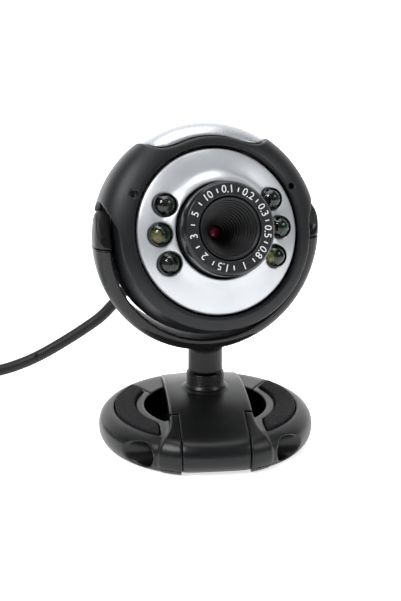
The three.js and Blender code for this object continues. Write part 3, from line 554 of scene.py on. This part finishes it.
def make_lamps():
    """Clear 5 mm lamps: epoxy bullet, a cup on its post and a dab in the cup, phosphor in lamps 2 and 6 and
    a dark die of painted shade in the other four.
    """
    bottom, top, radius = 8.5, 14.7, 2.5
    bullet = [(0, bottom), (2.9, bottom), (2.9, bottom + 1), (radius, bottom + 1.1)]
    bullet += arc_points(0, top - radius, radius, 0, 90, 12)[:-1] + [(0, top)]
    cup = softened([(0, 9.4), (0.7, 9.4), (1.0, 10.6), (0.8, 10.6), (0.45, 10.0), (0, 10.0)], 0.05)
    dab = [(0, 10.05), (0.42, 10.1), (0.76, 10.5), (0.42, 10.7), (0, 10.75)]
    sleeve = softened([(2.55, 9.3), (2.75, 9.3), (2.75, 13.2), (2.6, 13.4), (2.55, 13.2)], 0.04)
    for number, (x, z) in enumerate(lamp_places(), 1):
        for kind, outline, material, segments in (
                ("bullet", bullet, "lamp", 40), ("cup", cup, "cup", 24), ("dab", dab, "phosphor", 20),
                ("sleeve", sleeve, "hood", 40)):
            # painted shade: all six lamps are alike, but four get a dark die where they only look darker
            # from what they reflect
            if kind == "dab" and number not in (2, 6):
                material = "die_painted_shade"
            points, faces = facing(turned(outline, segments))
            hides = [f"led_{number}"] if kind == "bullet" else ()
            points = points + np.array([x, 0, z])
            piece(f"lamp_{kind}_{number}", points, faces, HEAD, "head", material, hides)


def make_focus_ring():
    back, mouth = RING_FRONT - 7.2, 7.5
    outline = [(RING - 1.4, back), (RING, back), (RING, RING_FRONT - 0.9), (RING - 0.6, RING_FRONT - 0.1),
               (RING - 0.9, RING_FRONT), (mouth + 0.25, RING_FRONT), (mouth, RING_FRONT - 0.25),
               (mouth, RING_FRONT - 1.5), (RING - 1.4, RING_FRONT - 1.5)]
    points, faces = facing(turned(softened(outline, 0.16), 160))
    ring = piece("focus_dial", points, faces, HEAD, "focus_ring", "gloss", ["focus_ring"])
    ring.data.materials.append(mats["dial"])
    to_local = HEAD.inverted()
    for polygon_ in ring.data.polygons:
        centre = to_local @ polygon_.center
        if centre.y < -(RING_FRONT - 0.12):
            polygon_.material_index = 1


def make_hood():
    front, back, mouth, throat, steps = RING_FRONT - 0.15, 8.0, 6.95, 1.75, 13
    outline = []
    for i in range(steps):
        radius = throat + (mouth - 0.45 - throat) * i / (steps - 1)
        depth = back + (front - 0.3 - back) * i / steps
        outline += [(radius, depth), (radius + 0.05, depth + (front - 0.3 - back) / steps)]
    outline += [(mouth - 0.1, front - 0.12), (mouth + 0.1, front), (mouth + 0.25, front),
                (mouth + 0.25, front - 1.3), (throat + 0.7, back)]
    points, faces = facing(turned(softened(outline, 0.06, 1), 96))
    piece("hood", points, faces, HEAD, "focus_ring", "hood", ["lens_hood"])


def make_lens():
    outline = softened([(1.4, 1.6), (3.3, 1.6), (3.3, 5.9), (4.0, 5.9), (4.0, 7.0), (1.9, 7.0),
                        (1.7, 6.6), (1.4, 6.3)], 0.1)
    points, faces = facing(turned(outline, 48))
    piece("barrel", points, faces, HEAD, "lens_barrel", "hood", ["lens_barrel"])
    outline = [(0, 6.1), (1.5, 6.1), (1.6, 6.4)]
    outline += [(1.6 * math.cos(t), 6.5 + 0.8 * math.sin(t)) for t in np.linspace(0, 1.5, 8)] + [(0, 7.3)]
    points, faces = facing(turned(outline, 48))
    piece("lens", points, faces, HEAD, "lens_barrel", "lens", ["lens_glass"])


# ------------------------------------------------------------------ yoke
YOKE_OUT, YOKE_IN, YOKE_HALF = 28.7, 25.2, 6.5
CROWN_AHEAD = 3.0
SEAM = -0.8
PIVOT_BORE = 1.9
PIVOT_REACH = 26.8
TIP = 7.5
STEM = 4.3


def band_field(x, y, z):
    across = np.hypot(x, z)
    crown = YOKE_OUT - YOKE_IN - 0.6
    from_crown = y + CROWN_AHEAD
    half = np.where(from_crown < 0, YOKE_HALF - CROWN_AHEAD, YOKE_HALF + CROWN_AHEAD)
    oval = np.hypot((across - YOKE_IN - 0.6) / crown, from_crown / half)
    outer = (oval - 1) * crown * 0.9
    outer = np.where(across < YOKE_IN + 0.6, np.abs(y) - YOKE_HALF, outer)
    band = smooth_max(outer, YOKE_IN - across, 0.35)
    tip = z - TIP * (1 - (y / (YOKE_HALF + 0.05)) ** 2)
    return smooth_max(band, tip * 0.55, 0.7)


def yoke_field(x, y, z, shoulder, spigot_end):
    stem = np.maximum(rod(x, y, STEM - 0.012 * (z + 26)), slab(z, shoulder, -YOKE_IN - 0.9))
    whole = smooth_min(band_field(x, y, z), stem, 1.4)
    whole = smooth_max(whole, YOKE_IN - np.sqrt(x * x + z * z), 0.3)
    whole = smooth_max(whole, shoulder - z, 0.5)
    whole = smooth_min(whole, np.maximum(rod(x, y, 3.1), slab(z, spigot_end, shoulder + 1)), 0.1)
    whole = smooth_max(whole, z - SEAM + 0.12, 0.22)
    return cut(whole, np.maximum(rod(y, z, PIVOT_BORE), np.abs(x) - PIVOT_REACH), 0.2)


def cap_field(x, y, z, side):
    cap = smooth_max(band_field(x, y, z), SEAM + 0.12 - z, 0.22)
    cap = np.maximum(cap, -side * x)
    return cut(cap, np.maximum(rod(y, z, PIVOT_BORE), np.abs(x) - PIVOT_REACH), 0.2)


def polish_edge(obj):
    """The front and back lips of the band are polished; the rest is satin."""
    obj.data.materials.append(mats["edge"])
    to_local = YOKE.inverted()
    turn = to_local.to_3x3().normalized()
    for face in obj.data.polygons:
        centre = to_local @ face.center
        normal = (turn @ face.normal).normalized()
        if abs(centre.y) > YOKE_HALF - 1.0 and abs(normal.y) > 0.75:
            face.material_index = 1


def make_yoke():
    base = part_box("stem_collar")[1][2] / MM + 0.3 - BALL.z / MM
    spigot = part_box("stem_washer")[1][2] / MM + 0.5 - BALL.z / MM
    points, quads = skin(lambda x, y, z: yoke_field(x, y, z, base, spigot),
                         (-29.2, -7.5, -44.2), (29.2, 7.5, 0.2), 0.33)
    polish_edge(piece("yoke_arms", points, quads, YOKE, "yoke", "yoke", ["yoke"]))
    for side, word in ((-1, "left"), (1, "right")):
        low, high = (min(22.8 * side, 29.2 * side), -7.5, -1.4), (max(22.8 * side, 29.2 * side), 7.5, 8.6)
        points, quads = skin(lambda x, y, z: cap_field(x, y, z, side), low, high, 0.22)
        polish_edge(piece(f"arm_cap_{word}", points, quads, YOKE, "yoke", "yoke",
                          [f"pivot_cap_{word}"]))


# ------------------------------------------------------------------ base
RIM_TOP = 8.8
HOLE = 15.8
PAD_IN, PAD_OUT = 18.0, 23.6
PAD_FRONT_X = 12.9
PAD_END_WALL = 0.9
SKIRT = 8.2
WIDE = 10.3
SHOULDER = math.hypot(6.0, 7.5)
TOE_APEX = -12.4
TOE_SPREAD = math.radians(33.3)
TOE_UNDER = 4.8
POCKET = 3.0
PIN_BORE = 1.8
CHEEK = 12.8
PLATE_SEAT, PLATE_ROOM = 23.3, 1.3
SADDLE_TOP = 13.2


def rim_profile(across, z):
    """The base ring's outer form: a full round outer wall under a flat top."""
    outer = (np.abs((across - 21.2) / 6.5) ** 2.3 + np.abs((z - 3.9) / 5.0) ** 2.3) ** (1 / 2.3) - 1
    wall = np.where(across > 21.2, outer * 5.0, np.abs(z - 3.9) - 5.0)
    return smooth_max(smooth_max(wall, z - RIM_TOP, 0.8), -z, 0.5)


def beyond_toe(x, y):
    """Distance outside the toe's two seams, the same on both sides."""
    return np.abs(x) * math.cos(TOE_SPREAD) - (y - TOE_APEX) * math.sin(TOE_SPREAD)


def about_hinge(y, z, radius):
    return rod(y - HINGE.y / MM, z - HINGE.z / MM, radius)


bridge_top = curved([
    (-24.4, 0.35), (-26.2, 1.5), (-27.3, 3.0), (-27.7, 4.4), (-27.3, 6.2), (-26.0, 7.9),
    (-23.6, 9.1), (-19.0, 10.3), (-12.0, 12.0), (-6.0, 12.9), (0, SADDLE_TOP), (6.0, 13.0),
    (12.0, 12.1), (18.0, 10.4), (22.0, RIM_TOP),
], 4)
bridge_side = bridge_top + [
    (22.0, TOE_UNDER), (16.1, TOE_UNDER), (15.2, 7.4), (10.0, 9.5), (5.5, 10.2), (-5.5, 10.2),
    (-9.5, 9.2), (-12.8, 7.2), (-12.8, 1.6), (-14.6, 0.4),
]
bridge_wall = [(0, 0), (25.4, 0)] + curved([
    (26.6, 1.4), (27.5, 2.9), (27.7, 4.4), (27.4, 6.0), (26.6, 7.4), (25.4, 8.5), (23.6, 9.4),
    (21.0, 10.6), (16.0, 12.7), (8.0, 14.1),
], 4) + [(0, 14.5)]


def bridge(x, y, z):
    """Skirt, saddle and tail in one, before they are cut to width."""
    return smooth_max(polygon(y, z, bridge_side), polygon(np.hypot(x, y), z, bridge_wall), 1.2)


def lower_jaw_field(x, y, z):
    across = np.hypot(x, y)
    ring = smooth_max(rim_profile(across, z), HOLE - across, 0.6)
    ring = cut(ring, np.maximum(beyond_toe(x, y) - 0.25, TOE_UNDER - 0.25 - z), 0.35)
    ends = smooth_max(PAD_FRONT_X - np.abs(x), PAD_END_WALL - beyond_toe(x, y), 0.5)
    channel_ = smooth_max(slab(across, PAD_IN, PAD_OUT), ends, 0.5)
    ring = cut(ring, np.maximum(channel_, RIM_TOP - 1.5 - z), 0.35)
    flank = WIDE + 0.035 * np.maximum(-15 - y, 0) ** 2
    cheek = smooth_max(bridge(x, y, z), np.abs(x) - flank, 0.7)
    cheek = smooth_max(cheek, about_hinge(y, z, SHOULDER - 0.3), 0.3)
    cheek = smooth_max(np.maximum(cheek, y + 10), HOLE - across, 0.4)
    ring = smooth_min(ring, cheek, 1.3)
    ring = cut(ring, smooth_max(np.abs(x) - SKIRT - 0.15, y + 10, 0.5), 0.25)
    ring = cut(ring, np.maximum(across - PLATE_SEAT, z - PLATE_ROOM), 0.2)
    ring = cut(ring, np.maximum(about_hinge(y, z, POCKET), CHEEK - np.abs(x)), 0.5)
    ring = cut(ring, np.maximum(about_hinge(y, z, PIN_BORE), np.abs(x) - 15), 0.2)
    parting = np.hypot(rim_profile(across, z), z - 1.6) - 0.12
    return cut(ring, parting, 0.1)


def upper_jaw_field(x, y, z):
    across = np.hypot(x, y)
    whole = bridge(x, y, z)
    wide = cut(smooth_max(whole, np.abs(x) - WIDE, 0.7), about_hinge(y, z, SHOULDER), 0.3)
    saddle = np.minimum(wide, smooth_max(whole, np.abs(x) - SKIRT, 0.3))
    toe = smooth_max(rim_profile(across, z), HOLE - across, 0.6)
    toe = smooth_max(smooth_max(toe, TOE_UNDER - z, 0.3), beyond_toe(x, y), 0.35)
    jaw = smooth_min(saddle, toe, 0.5)
    neck = np.maximum(rod(x, y, 5.5 - 0.35 * (z - SADDLE_TOP)), slab(z, 11, SADDLE_TOP + 0.25))
    jaw = smooth_min(jaw, neck, 0.8)
    jaw = cut(jaw, rod(x, y, 3.4), 0.2)
    jaw = cut(jaw, about_hinge(y, z, PIN_BORE), 0.2)
    room = np.maximum(about_hinge(y, z, 3.5), np.abs(x) - 2.7)
    slot = np.maximum(np.maximum(np.abs(y - HINGE.y / MM) - 2, np.abs(x) - 2.7), z - HINGE.z / MM)
    return cut(jaw, np.minimum(room, slot), 0.2)


def make_base():
    points, quads = skin(lower_jaw_field, (-28.6, -28.6, -0.8), (28.6, 28.6, 12.6), 0.31)
    piece("base_ring", points, quads, BASE, "lower_jaw", "base", ["lower_jaw"])
    points, quads = skin(upper_jaw_field, (-21.5, -28.5, -0.6), (21.5, 28.6, 14.4), 0.31)
    piece("saddle", points, quads, BASE, "upper_jaw", "base", ["upper_jaw"])


def pad_field(x, y, z, side):
    across = np.hypot(x, y)
    ends = smooth_max(PAD_FRONT_X + 0.25 - np.abs(x), PAD_END_WALL + 0.25 - beyond_toe(x, y), 0.6)
    pad = smooth_max(slab(across, PAD_IN + 0.25, PAD_OUT - 0.25), ends, 0.7)
    crown = RIM_TOP + 0.6 - 0.02 * (across - (PAD_IN + PAD_OUT) / 2) ** 2
    pad = smooth_max(pad, z - crown, 0.5)
    pad = smooth_max(pad, RIM_TOP - 1.2 - z, 0.2)
    return np.maximum(pad, -side * x)


def make_pads():
    for side, word in ((-1, "left"), (1, "right")):
        low = (min(9 * side, 24.4 * side), -21.5, RIM_TOP - 1.7)
        high = (max(9 * side, 24.4 * side), 17.5, RIM_TOP + 1.2)
        points, quads = skin(lambda x, y, z: pad_field(x, y, z, side), low, high, 0.26)
        pad = piece(f"pad_{word}", points, quads, BASE, "lower_jaw", "foam",
                    [f"foam_pad_{word}"])


def make_collar():
    bottom, top = SADDLE_TOP - 0.5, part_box("stem_collar")[1][2] / MM
    outline = [(3.4, bottom), (4.1, bottom), (4.1, SADDLE_TOP + 0.3), (5.3, SADDLE_TOP + 0.3),
               (5.35, SADDLE_TOP + 0.6), (4.95, SADDLE_TOP + 1.2)]
    ribs = 7
    pitch = (top - SADDLE_TOP - 1.7) / ribs
    for i in range(ribs):
        z = SADDLE_TOP + 1.3 + i * pitch
        outline += [(4.86, z), (4.86, z + pitch * 0.55), (4.74, z + pitch * 0.6), (4.74, z + pitch * 0.95)]
    outline += [(4.86, top - 0.35), (4.7, top), (3.4, top)]
    points, faces = turned(softened(outline, 0.06, 2), 96)
    piece("collar", points, faces, BASE, "upper_jaw", "base", ["stem_collar"])


# ------------------------------------------------------------------ lead
CORD = 1.7
ROUTE = [
    (-6.9, 34.0, 43.5), (-7.6, 37.7, 42.3), (-8.9, 41.7, 40.2), (-10.9, 45.2, 37.1),
    (-13.6, 47.9, 33.4), (-16.6, 49.6, 29.3), (-19.7, 50.3, 25.2), (-23.0, 50.4, 21.3),
    (-26.8, 50.2, 17.6), (-32.2, 50.0, 13.9), (-38.1, 49.8, 10.3), (-44.5, 49.5, 6.8),
    (-50.6, 49.2, 4.2), (-56.8, 49.0, 2.4), (-62.8, 48.85, 1.8), (-69.0, 48.8, 1.75),
    (-75.2, 48.8, 1.75), (-82.0, 48.8, 1.72),
]
COIL_X, COIL_Y = -88.0, 26.7
# Turn of the coil, in degrees from its start, against the radius and height of the cord there.
WINDING = [
    (0, 22.1, 1.7), (300, 22.1, 1.7), (360, 18.7, 1.7), (660, 18.7, 1.7), (720, 15.3, 1.7),
    (930, 15.3, 1.7), (1020, 15.3, 5.1), (1290, 15.3, 5.1), (1380, 15.3, 8.5), (1560, 15.3, 8.5),
    (1650, 18.7, 8.5), (1830, 18.7, 8.5), (1920, 18.7, 5.1), (2100, 18.7, 5.1), (2190, 22.1, 5.1),
    (2250, 22.1, 5.0),
]
FIRST_JOIN, SECOND_JOIN = 31.0, 62.0  # along the lead, where its three pieces meet
CORD_STEP = 0.8
RELIEF_Y = 13.5
PLUG_AXIS = 4.1


def winding_point(turn):
    """A point on the coil, with smooth changes from one layer to the next."""
    radius, height = WINDING[-1][1:]
    for (a, r0, z0), (b, r1, z1) in zip(WINDING, WINDING[1:]):
        if a <= turn <= b:
            share = (turn - a) / (b - a)
            share = share * share * (3 - 2 * share)
            radius, height = r0 + (r1 - r0) * share, z0 + (z1 - z0) * share
            break
    angle = math.radians(90 + turn)
    return (COIL_X + radius * math.cos(angle), COIL_Y + radius * math.sin(angle), height)


def lead_line():
    """The lead's centreline from the head to the plug, evenly spaced."""
    points = list(ROUTE) + [winding_point(turn) for turn in range(0, 2251, 10)]
    left = points[-1][0]
    points += [(left, COIL_Y - 3, 4.9), (left, COIL_Y - 6, 4.6), (left, COIL_Y - 9, 4.3),
               (left, COIL_Y - 11, 4.15), (left, RELIEF_Y - 1, PLUG_AXIS)]
    line = np.array(curved(points, 4))
    gone = np.concatenate([[0], np.cumsum(np.linalg.norm(np.diff(line, axis=0), axis=1))])
    even = np.linspace(0, gone[-1], int(gone[-1] / CORD_STEP) + 1)
    return np.stack([np.interp(even, gone, line[:, k]) for k in range(3)], axis=1), even


def tube(line, radius, sides=14):
    """A closed tube round a line, with no twist in it."""
    along = np.gradient(line, axis=0)
    along /= np.linalg.norm(along, axis=1, keepdims=True)
    side = np.cross(along[0], (0.0, 0.0, 1.0))
    side /= np.linalg.norm(side)
    turn = np.arange(sides) * 2 * math.pi / sides
    vertices = []
    for place, ahead in zip(line, along):
        side = side - ahead * np.dot(side, ahead)
        side /= np.linalg.norm(side)
        up = np.cross(side, ahead)
        vertices += [place + radius * (math.cos(t) * side + math.sin(t) * up) for t in turn]
    faces = []
    for i in range(len(line) - 1):
        a, b = i * sides, (i + 1) * sides
        faces += [(a + k, a + (k + 1) % sides, b + (k + 1) % sides, b + k) for k in range(sides)]
    faces.append(tuple(range(sides - 1, -1, -1)))
    faces.append(tuple(range((len(line) - 1) * sides, len(line) * sides)))
    return vertices, faces


def cord_piece(name, line, hides):
    vertices, faces = tube(line, CORD)
    mesh = bpy.data.meshes.new(name)
    mesh.from_pydata([tuple(v * MM) for v in vertices], [], faces)
    mesh.polygons.foreach_set("use_smooth", [True] * len(faces))
    obj = bpy.data.objects.new(name, mesh)
    bpy.context.scene.collection.objects.link(obj)
    obj.data.materials.append(mats["cable"])
    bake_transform(obj)
    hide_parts(*hides)
    return obj


def make_lead():
    line, gone = lead_line()
    first, second = int(np.searchsorted(gone, FIRST_JOIN)), int(np.searchsorted(gone, SECOND_JOIN))
    cord_piece("lead_upper", line[:first + 1], ["cable"])
    cord_piece("lead_middle", line[first:second + 1], [])
    plug = make_plug()
    cord_piece("lead_coil", line[second:], ["cable_coil"])


def along_minus_y(points, x, y, z):
    """Turned about +Z in its own space; laid along -Y from the point given."""
    points = np.asarray(points, float)
    return np.stack([x + points[:, 0], y - points[:, 2], z + points[:, 1]], axis=1)


PLUG_LENGTH = 24.0


def plug_field(x, y, z, length):
    """A moulded grip: rounded bar, waisted, with three ridges across each flat."""
    share = (z - length / 2) / (length / 2)
    half_x, half_y = 7.7 - 0.5 * (1 - share * share), 4.1 - 0.25 * (1 - share * share)
    corner = 1.8
    qx, qy = np.abs(x) - half_x + corner, np.abs(y) - half_y + corner
    bar = np.hypot(np.maximum(qx, 0), np.maximum(qy, 0)) + np.minimum(np.maximum(qx, qy), 0) - corner
    bar = smooth_max(bar, slab(z, 0, length), 0.9)
    for place in (6.5, 9.5, 12.5):
        groove = np.maximum(np.hypot(np.abs(y) - half_y - 0.1, z - place) - 0.55, np.abs(x) - 5.0)
        bar = cut(bar, groove, 0.3)
    return bar


def make_plug():
    low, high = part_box("usb_plug_body")
    middle_x, middle_z = (low[0] + high[0]) / 2 / MM, (low[2] + high[2]) / 2 / MM
    points, quads = skin(lambda x, y, z: plug_field(x, y, z, PLUG_LENGTH),
                         (-8.5, -5, -0.8), (8.5, 5, PLUG_LENGTH + 0.8), 0.3)
    points = along_minus_y(points, middle_x, high[1] / MM, middle_z)
    body = piece("plug_grip", points, quads, BASE, "lower_jaw", "cable", ["usb_plug_body"])
    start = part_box("plug_relief")[1][1] / MM
    outline = [(0, 0)]
    for i in range(6):
        z, radius = 0.4 + i * 1.55, 2.1 + 0.22 * i
        outline += [(radius, z), (radius, z + 1.0), (radius - 0.4, z + 1.1), (radius - 0.4, z + 1.45)]
    outline += [(3.4, 9.7), (3.4, 10.0), (0, 10.0)]
    points, faces = turned(outline, 32)
    points = along_minus_y(points, middle_x, start, middle_z)
    relief = piece("plug_boot", points, faces, BASE, "lower_jaw", "cable", ["plug_relief"])
    return (body, relief) + tuple(frame["nodes"][name] for name in ("usb_plug_shell", "usb_plug_tongue"))


def make_gland():
    """Ribbed bend relief where the lead leaves the back of the head."""
    outline = [(1.5, -23.7), (2.7, -23.7), (2.7, -27.7), (4.1, -27.7), (4.1, -28.6),
               (3.7, -29.1), (3.1, -29.4)]
    for i in range(4):
        z, radius = -29.8 - i * 1.4, 3.0 - 0.2 * i
        outline += [(radius, z), (radius, z - 0.8), (radius - 0.35, z - 0.9), (radius - 0.35, z - 1.3)]
    outline += [(2.2, -35.7), (1.5, -35.7)]
    points, faces = facing(turned(outline, 48))
    piece("gland", points, faces, HEAD, "head", "cable", ["cable_gland"])


DIAL_MARKS = ("0.1", "0.2", "0.3", "0.5", "0.8", "1", "1.5", "2", "3", "5", "10")


def lettering(word, height):
    """A word's outline as flat triangles, centred, in its own millimetres."""
    curve = bpy.data.curves.new("word", "FONT")
    curve.body = word
    curve.size = height * 1.4
    curve.align_x = "CENTER"
    curve.align_y = "CENTER"
    curve.resolution_u = 4
    holder = bpy.data.objects.new("word", curve)
    bpy.context.scene.collection.objects.link(holder)
    bpy.context.view_layer.update()
    mesh = bpy.data.meshes.new_from_object(holder)
    vertices = [tuple(v.co) for v in mesh.vertices]
    faces = [tuple(f.vertices) for f in mesh.polygons]
    bpy.data.objects.remove(holder)
    bpy.data.meshes.remove(mesh)
    bpy.data.curves.remove(curve)
    return vertices, faces


def make_dial_print():
    """Plain distance numbers round the face of the focus ring, with ticks between them."""
    vertices, faces = [], []
    front = RING_FRONT + 0.02
    middle = 9.0
    for i, word in enumerate(DIAL_MARKS):
        turn = math.radians(90 - 360 * i / len(DIAL_MARKS))
        radial, sideways = (math.cos(turn), math.sin(turn)), (math.sin(turn), -math.cos(turn))
        flat, polygons = lettering(word, 1.8)
        base = len(vertices)
        for a, b, _ in flat:
            vertices.append((radial[0] * (middle + b) + sideways[0] * a, -front,
                             radial[1] * (middle + b) + sideways[1] * a))
        faces += [tuple(base + k for k in f) for f in polygons]
        half = math.radians(90 - 360 * (i + 0.5) / len(DIAL_MARKS))
        base = len(vertices)
        for r, w in ((8.6, -0.13), (9.6, -0.13), (9.6, 0.13), (8.6, 0.13)):
            vertices.append((math.cos(half) * r + math.sin(half) * w, -front,
                             math.sin(half) * r - math.cos(half) * w))
        faces.append((base, base + 1, base + 2, base + 3))
    piece("dial_numbers", vertices, faces, HEAD, "focus_ring", "print", smooth=False)


LEFTOVERS = {
    "base": ["bottom_plate"],
    "gloss": ["hinge_pin_left", "hinge_pin_right", "image_sensor"],
    "steel": ["clip_spring", "stem_washer", "stem_screw", "pivot_pin_left", "pivot_pin_right",
              "shell_screw_left", "shell_screw_right", "holder_screw_left", "holder_screw_right",
              "microphone"],
    "board": ["led_board", "main_board"],
    "satin": ["lens_holder"],
    "white": ["board_connector", "usb_plug_tongue"],
    "nickel": ["usb_plug_shell"],
}


def finish_leftovers():
    """Finishes for the CAD solids that are shown as they are."""
    for look, names in LEFTOVERS.items():
        for name in names:
            data = frame["nodes"][name].data
            data.materials.clear()
            data.materials.append(mats[look])


# ------------------------------------------------------------------ stage and light
def make_stage():
    """A white paper sweep: floor, curve and back."""
    wide, bend, back, high = 2.5, 0.6, 0.9, 2.2
    profile = [(-2.5, 0.0), (back - bend, 0.0)]
    for i in range(1, 17):
        angle = math.pi / 2 * i / 16
        profile.append((back - bend + bend * math.sin(angle), bend - bend * math.cos(angle)))
    profile.append((back, high))
    vertices = [(x, y, z) for y, z in profile for x in (-wide, wide)]
    faces = [(2 * i, 2 * i + 1, 2 * i + 3, 2 * i + 2) for i in range(len(profile) - 1)]
    mesh = bpy.data.meshes.new("floor")
    mesh.from_pydata(vertices, [], faces)
    mesh.polygons.foreach_set("use_smooth", [True] * len(faces))
    floor = bpy.data.objects.new("floor", mesh)
    bpy.context.scene.collection.objects.link(floor)
    material, tree, shader = new_material("floor_paper", (0.93, 0.93, 0.93), 0.85)
    tree.links.new(remap(tree, noise(tree, 4.0), 0.3, 0.7, 0.8, 0.9), shader.inputs["Roughness"])
    shader.inputs["Emission Color"].default_value = (1.0, 1.0, 1.0, 1.0)
    shader.inputs["Emission Strength"].default_value = 0.68
    floor.data.materials.append(material)


def add_light(name, place, target, size, power, size_y=None):
    data = bpy.data.lights.new(name, "AREA")
    data.energy = power
    data.shape = "RECTANGLE"
    data.size = size
    data.size_y = size_y or size
    light = bpy.data.objects.new(name, data)
    light.location = place
    light.rotation_euler = (Vector(target) - Vector(place)).to_track_quat("-Z", "Y").to_euler()
    bpy.context.scene.collection.objects.link(light)


def make_light():
    world = bpy.data.worlds.new("studio")
    world.use_nodes = True
    world.node_tree.nodes["Background"].inputs["Color"].default_value = (0.85, 0.92, 1.0, 1.0)
    world.node_tree.nodes["Background"].inputs["Strength"].default_value = 0.12
    bpy.context.scene.world = world
    bpy.context.scene.view_settings.view_transform = "Standard"
    add_light("key", (-0.55, -0.45, 0.75), (0, 0, 0.04), 0.4, 6.5)
    add_light("fill", (0.6, -0.35, 0.5), (0, 0, 0.04), 0.3, 1.4)
    add_light("top", (0.0, 0.1, 0.9), (0, 0, 0.03), 0.6, 4.0)


make_shells()
make_face()
make_lamps()
make_focus_ring()
make_hood()
make_lens()
make_yoke()
make_base()
make_pads()
make_collar()
make_lead()
make_gland()
make_dial_print()
finish_leftovers()
make_stage()
make_light()
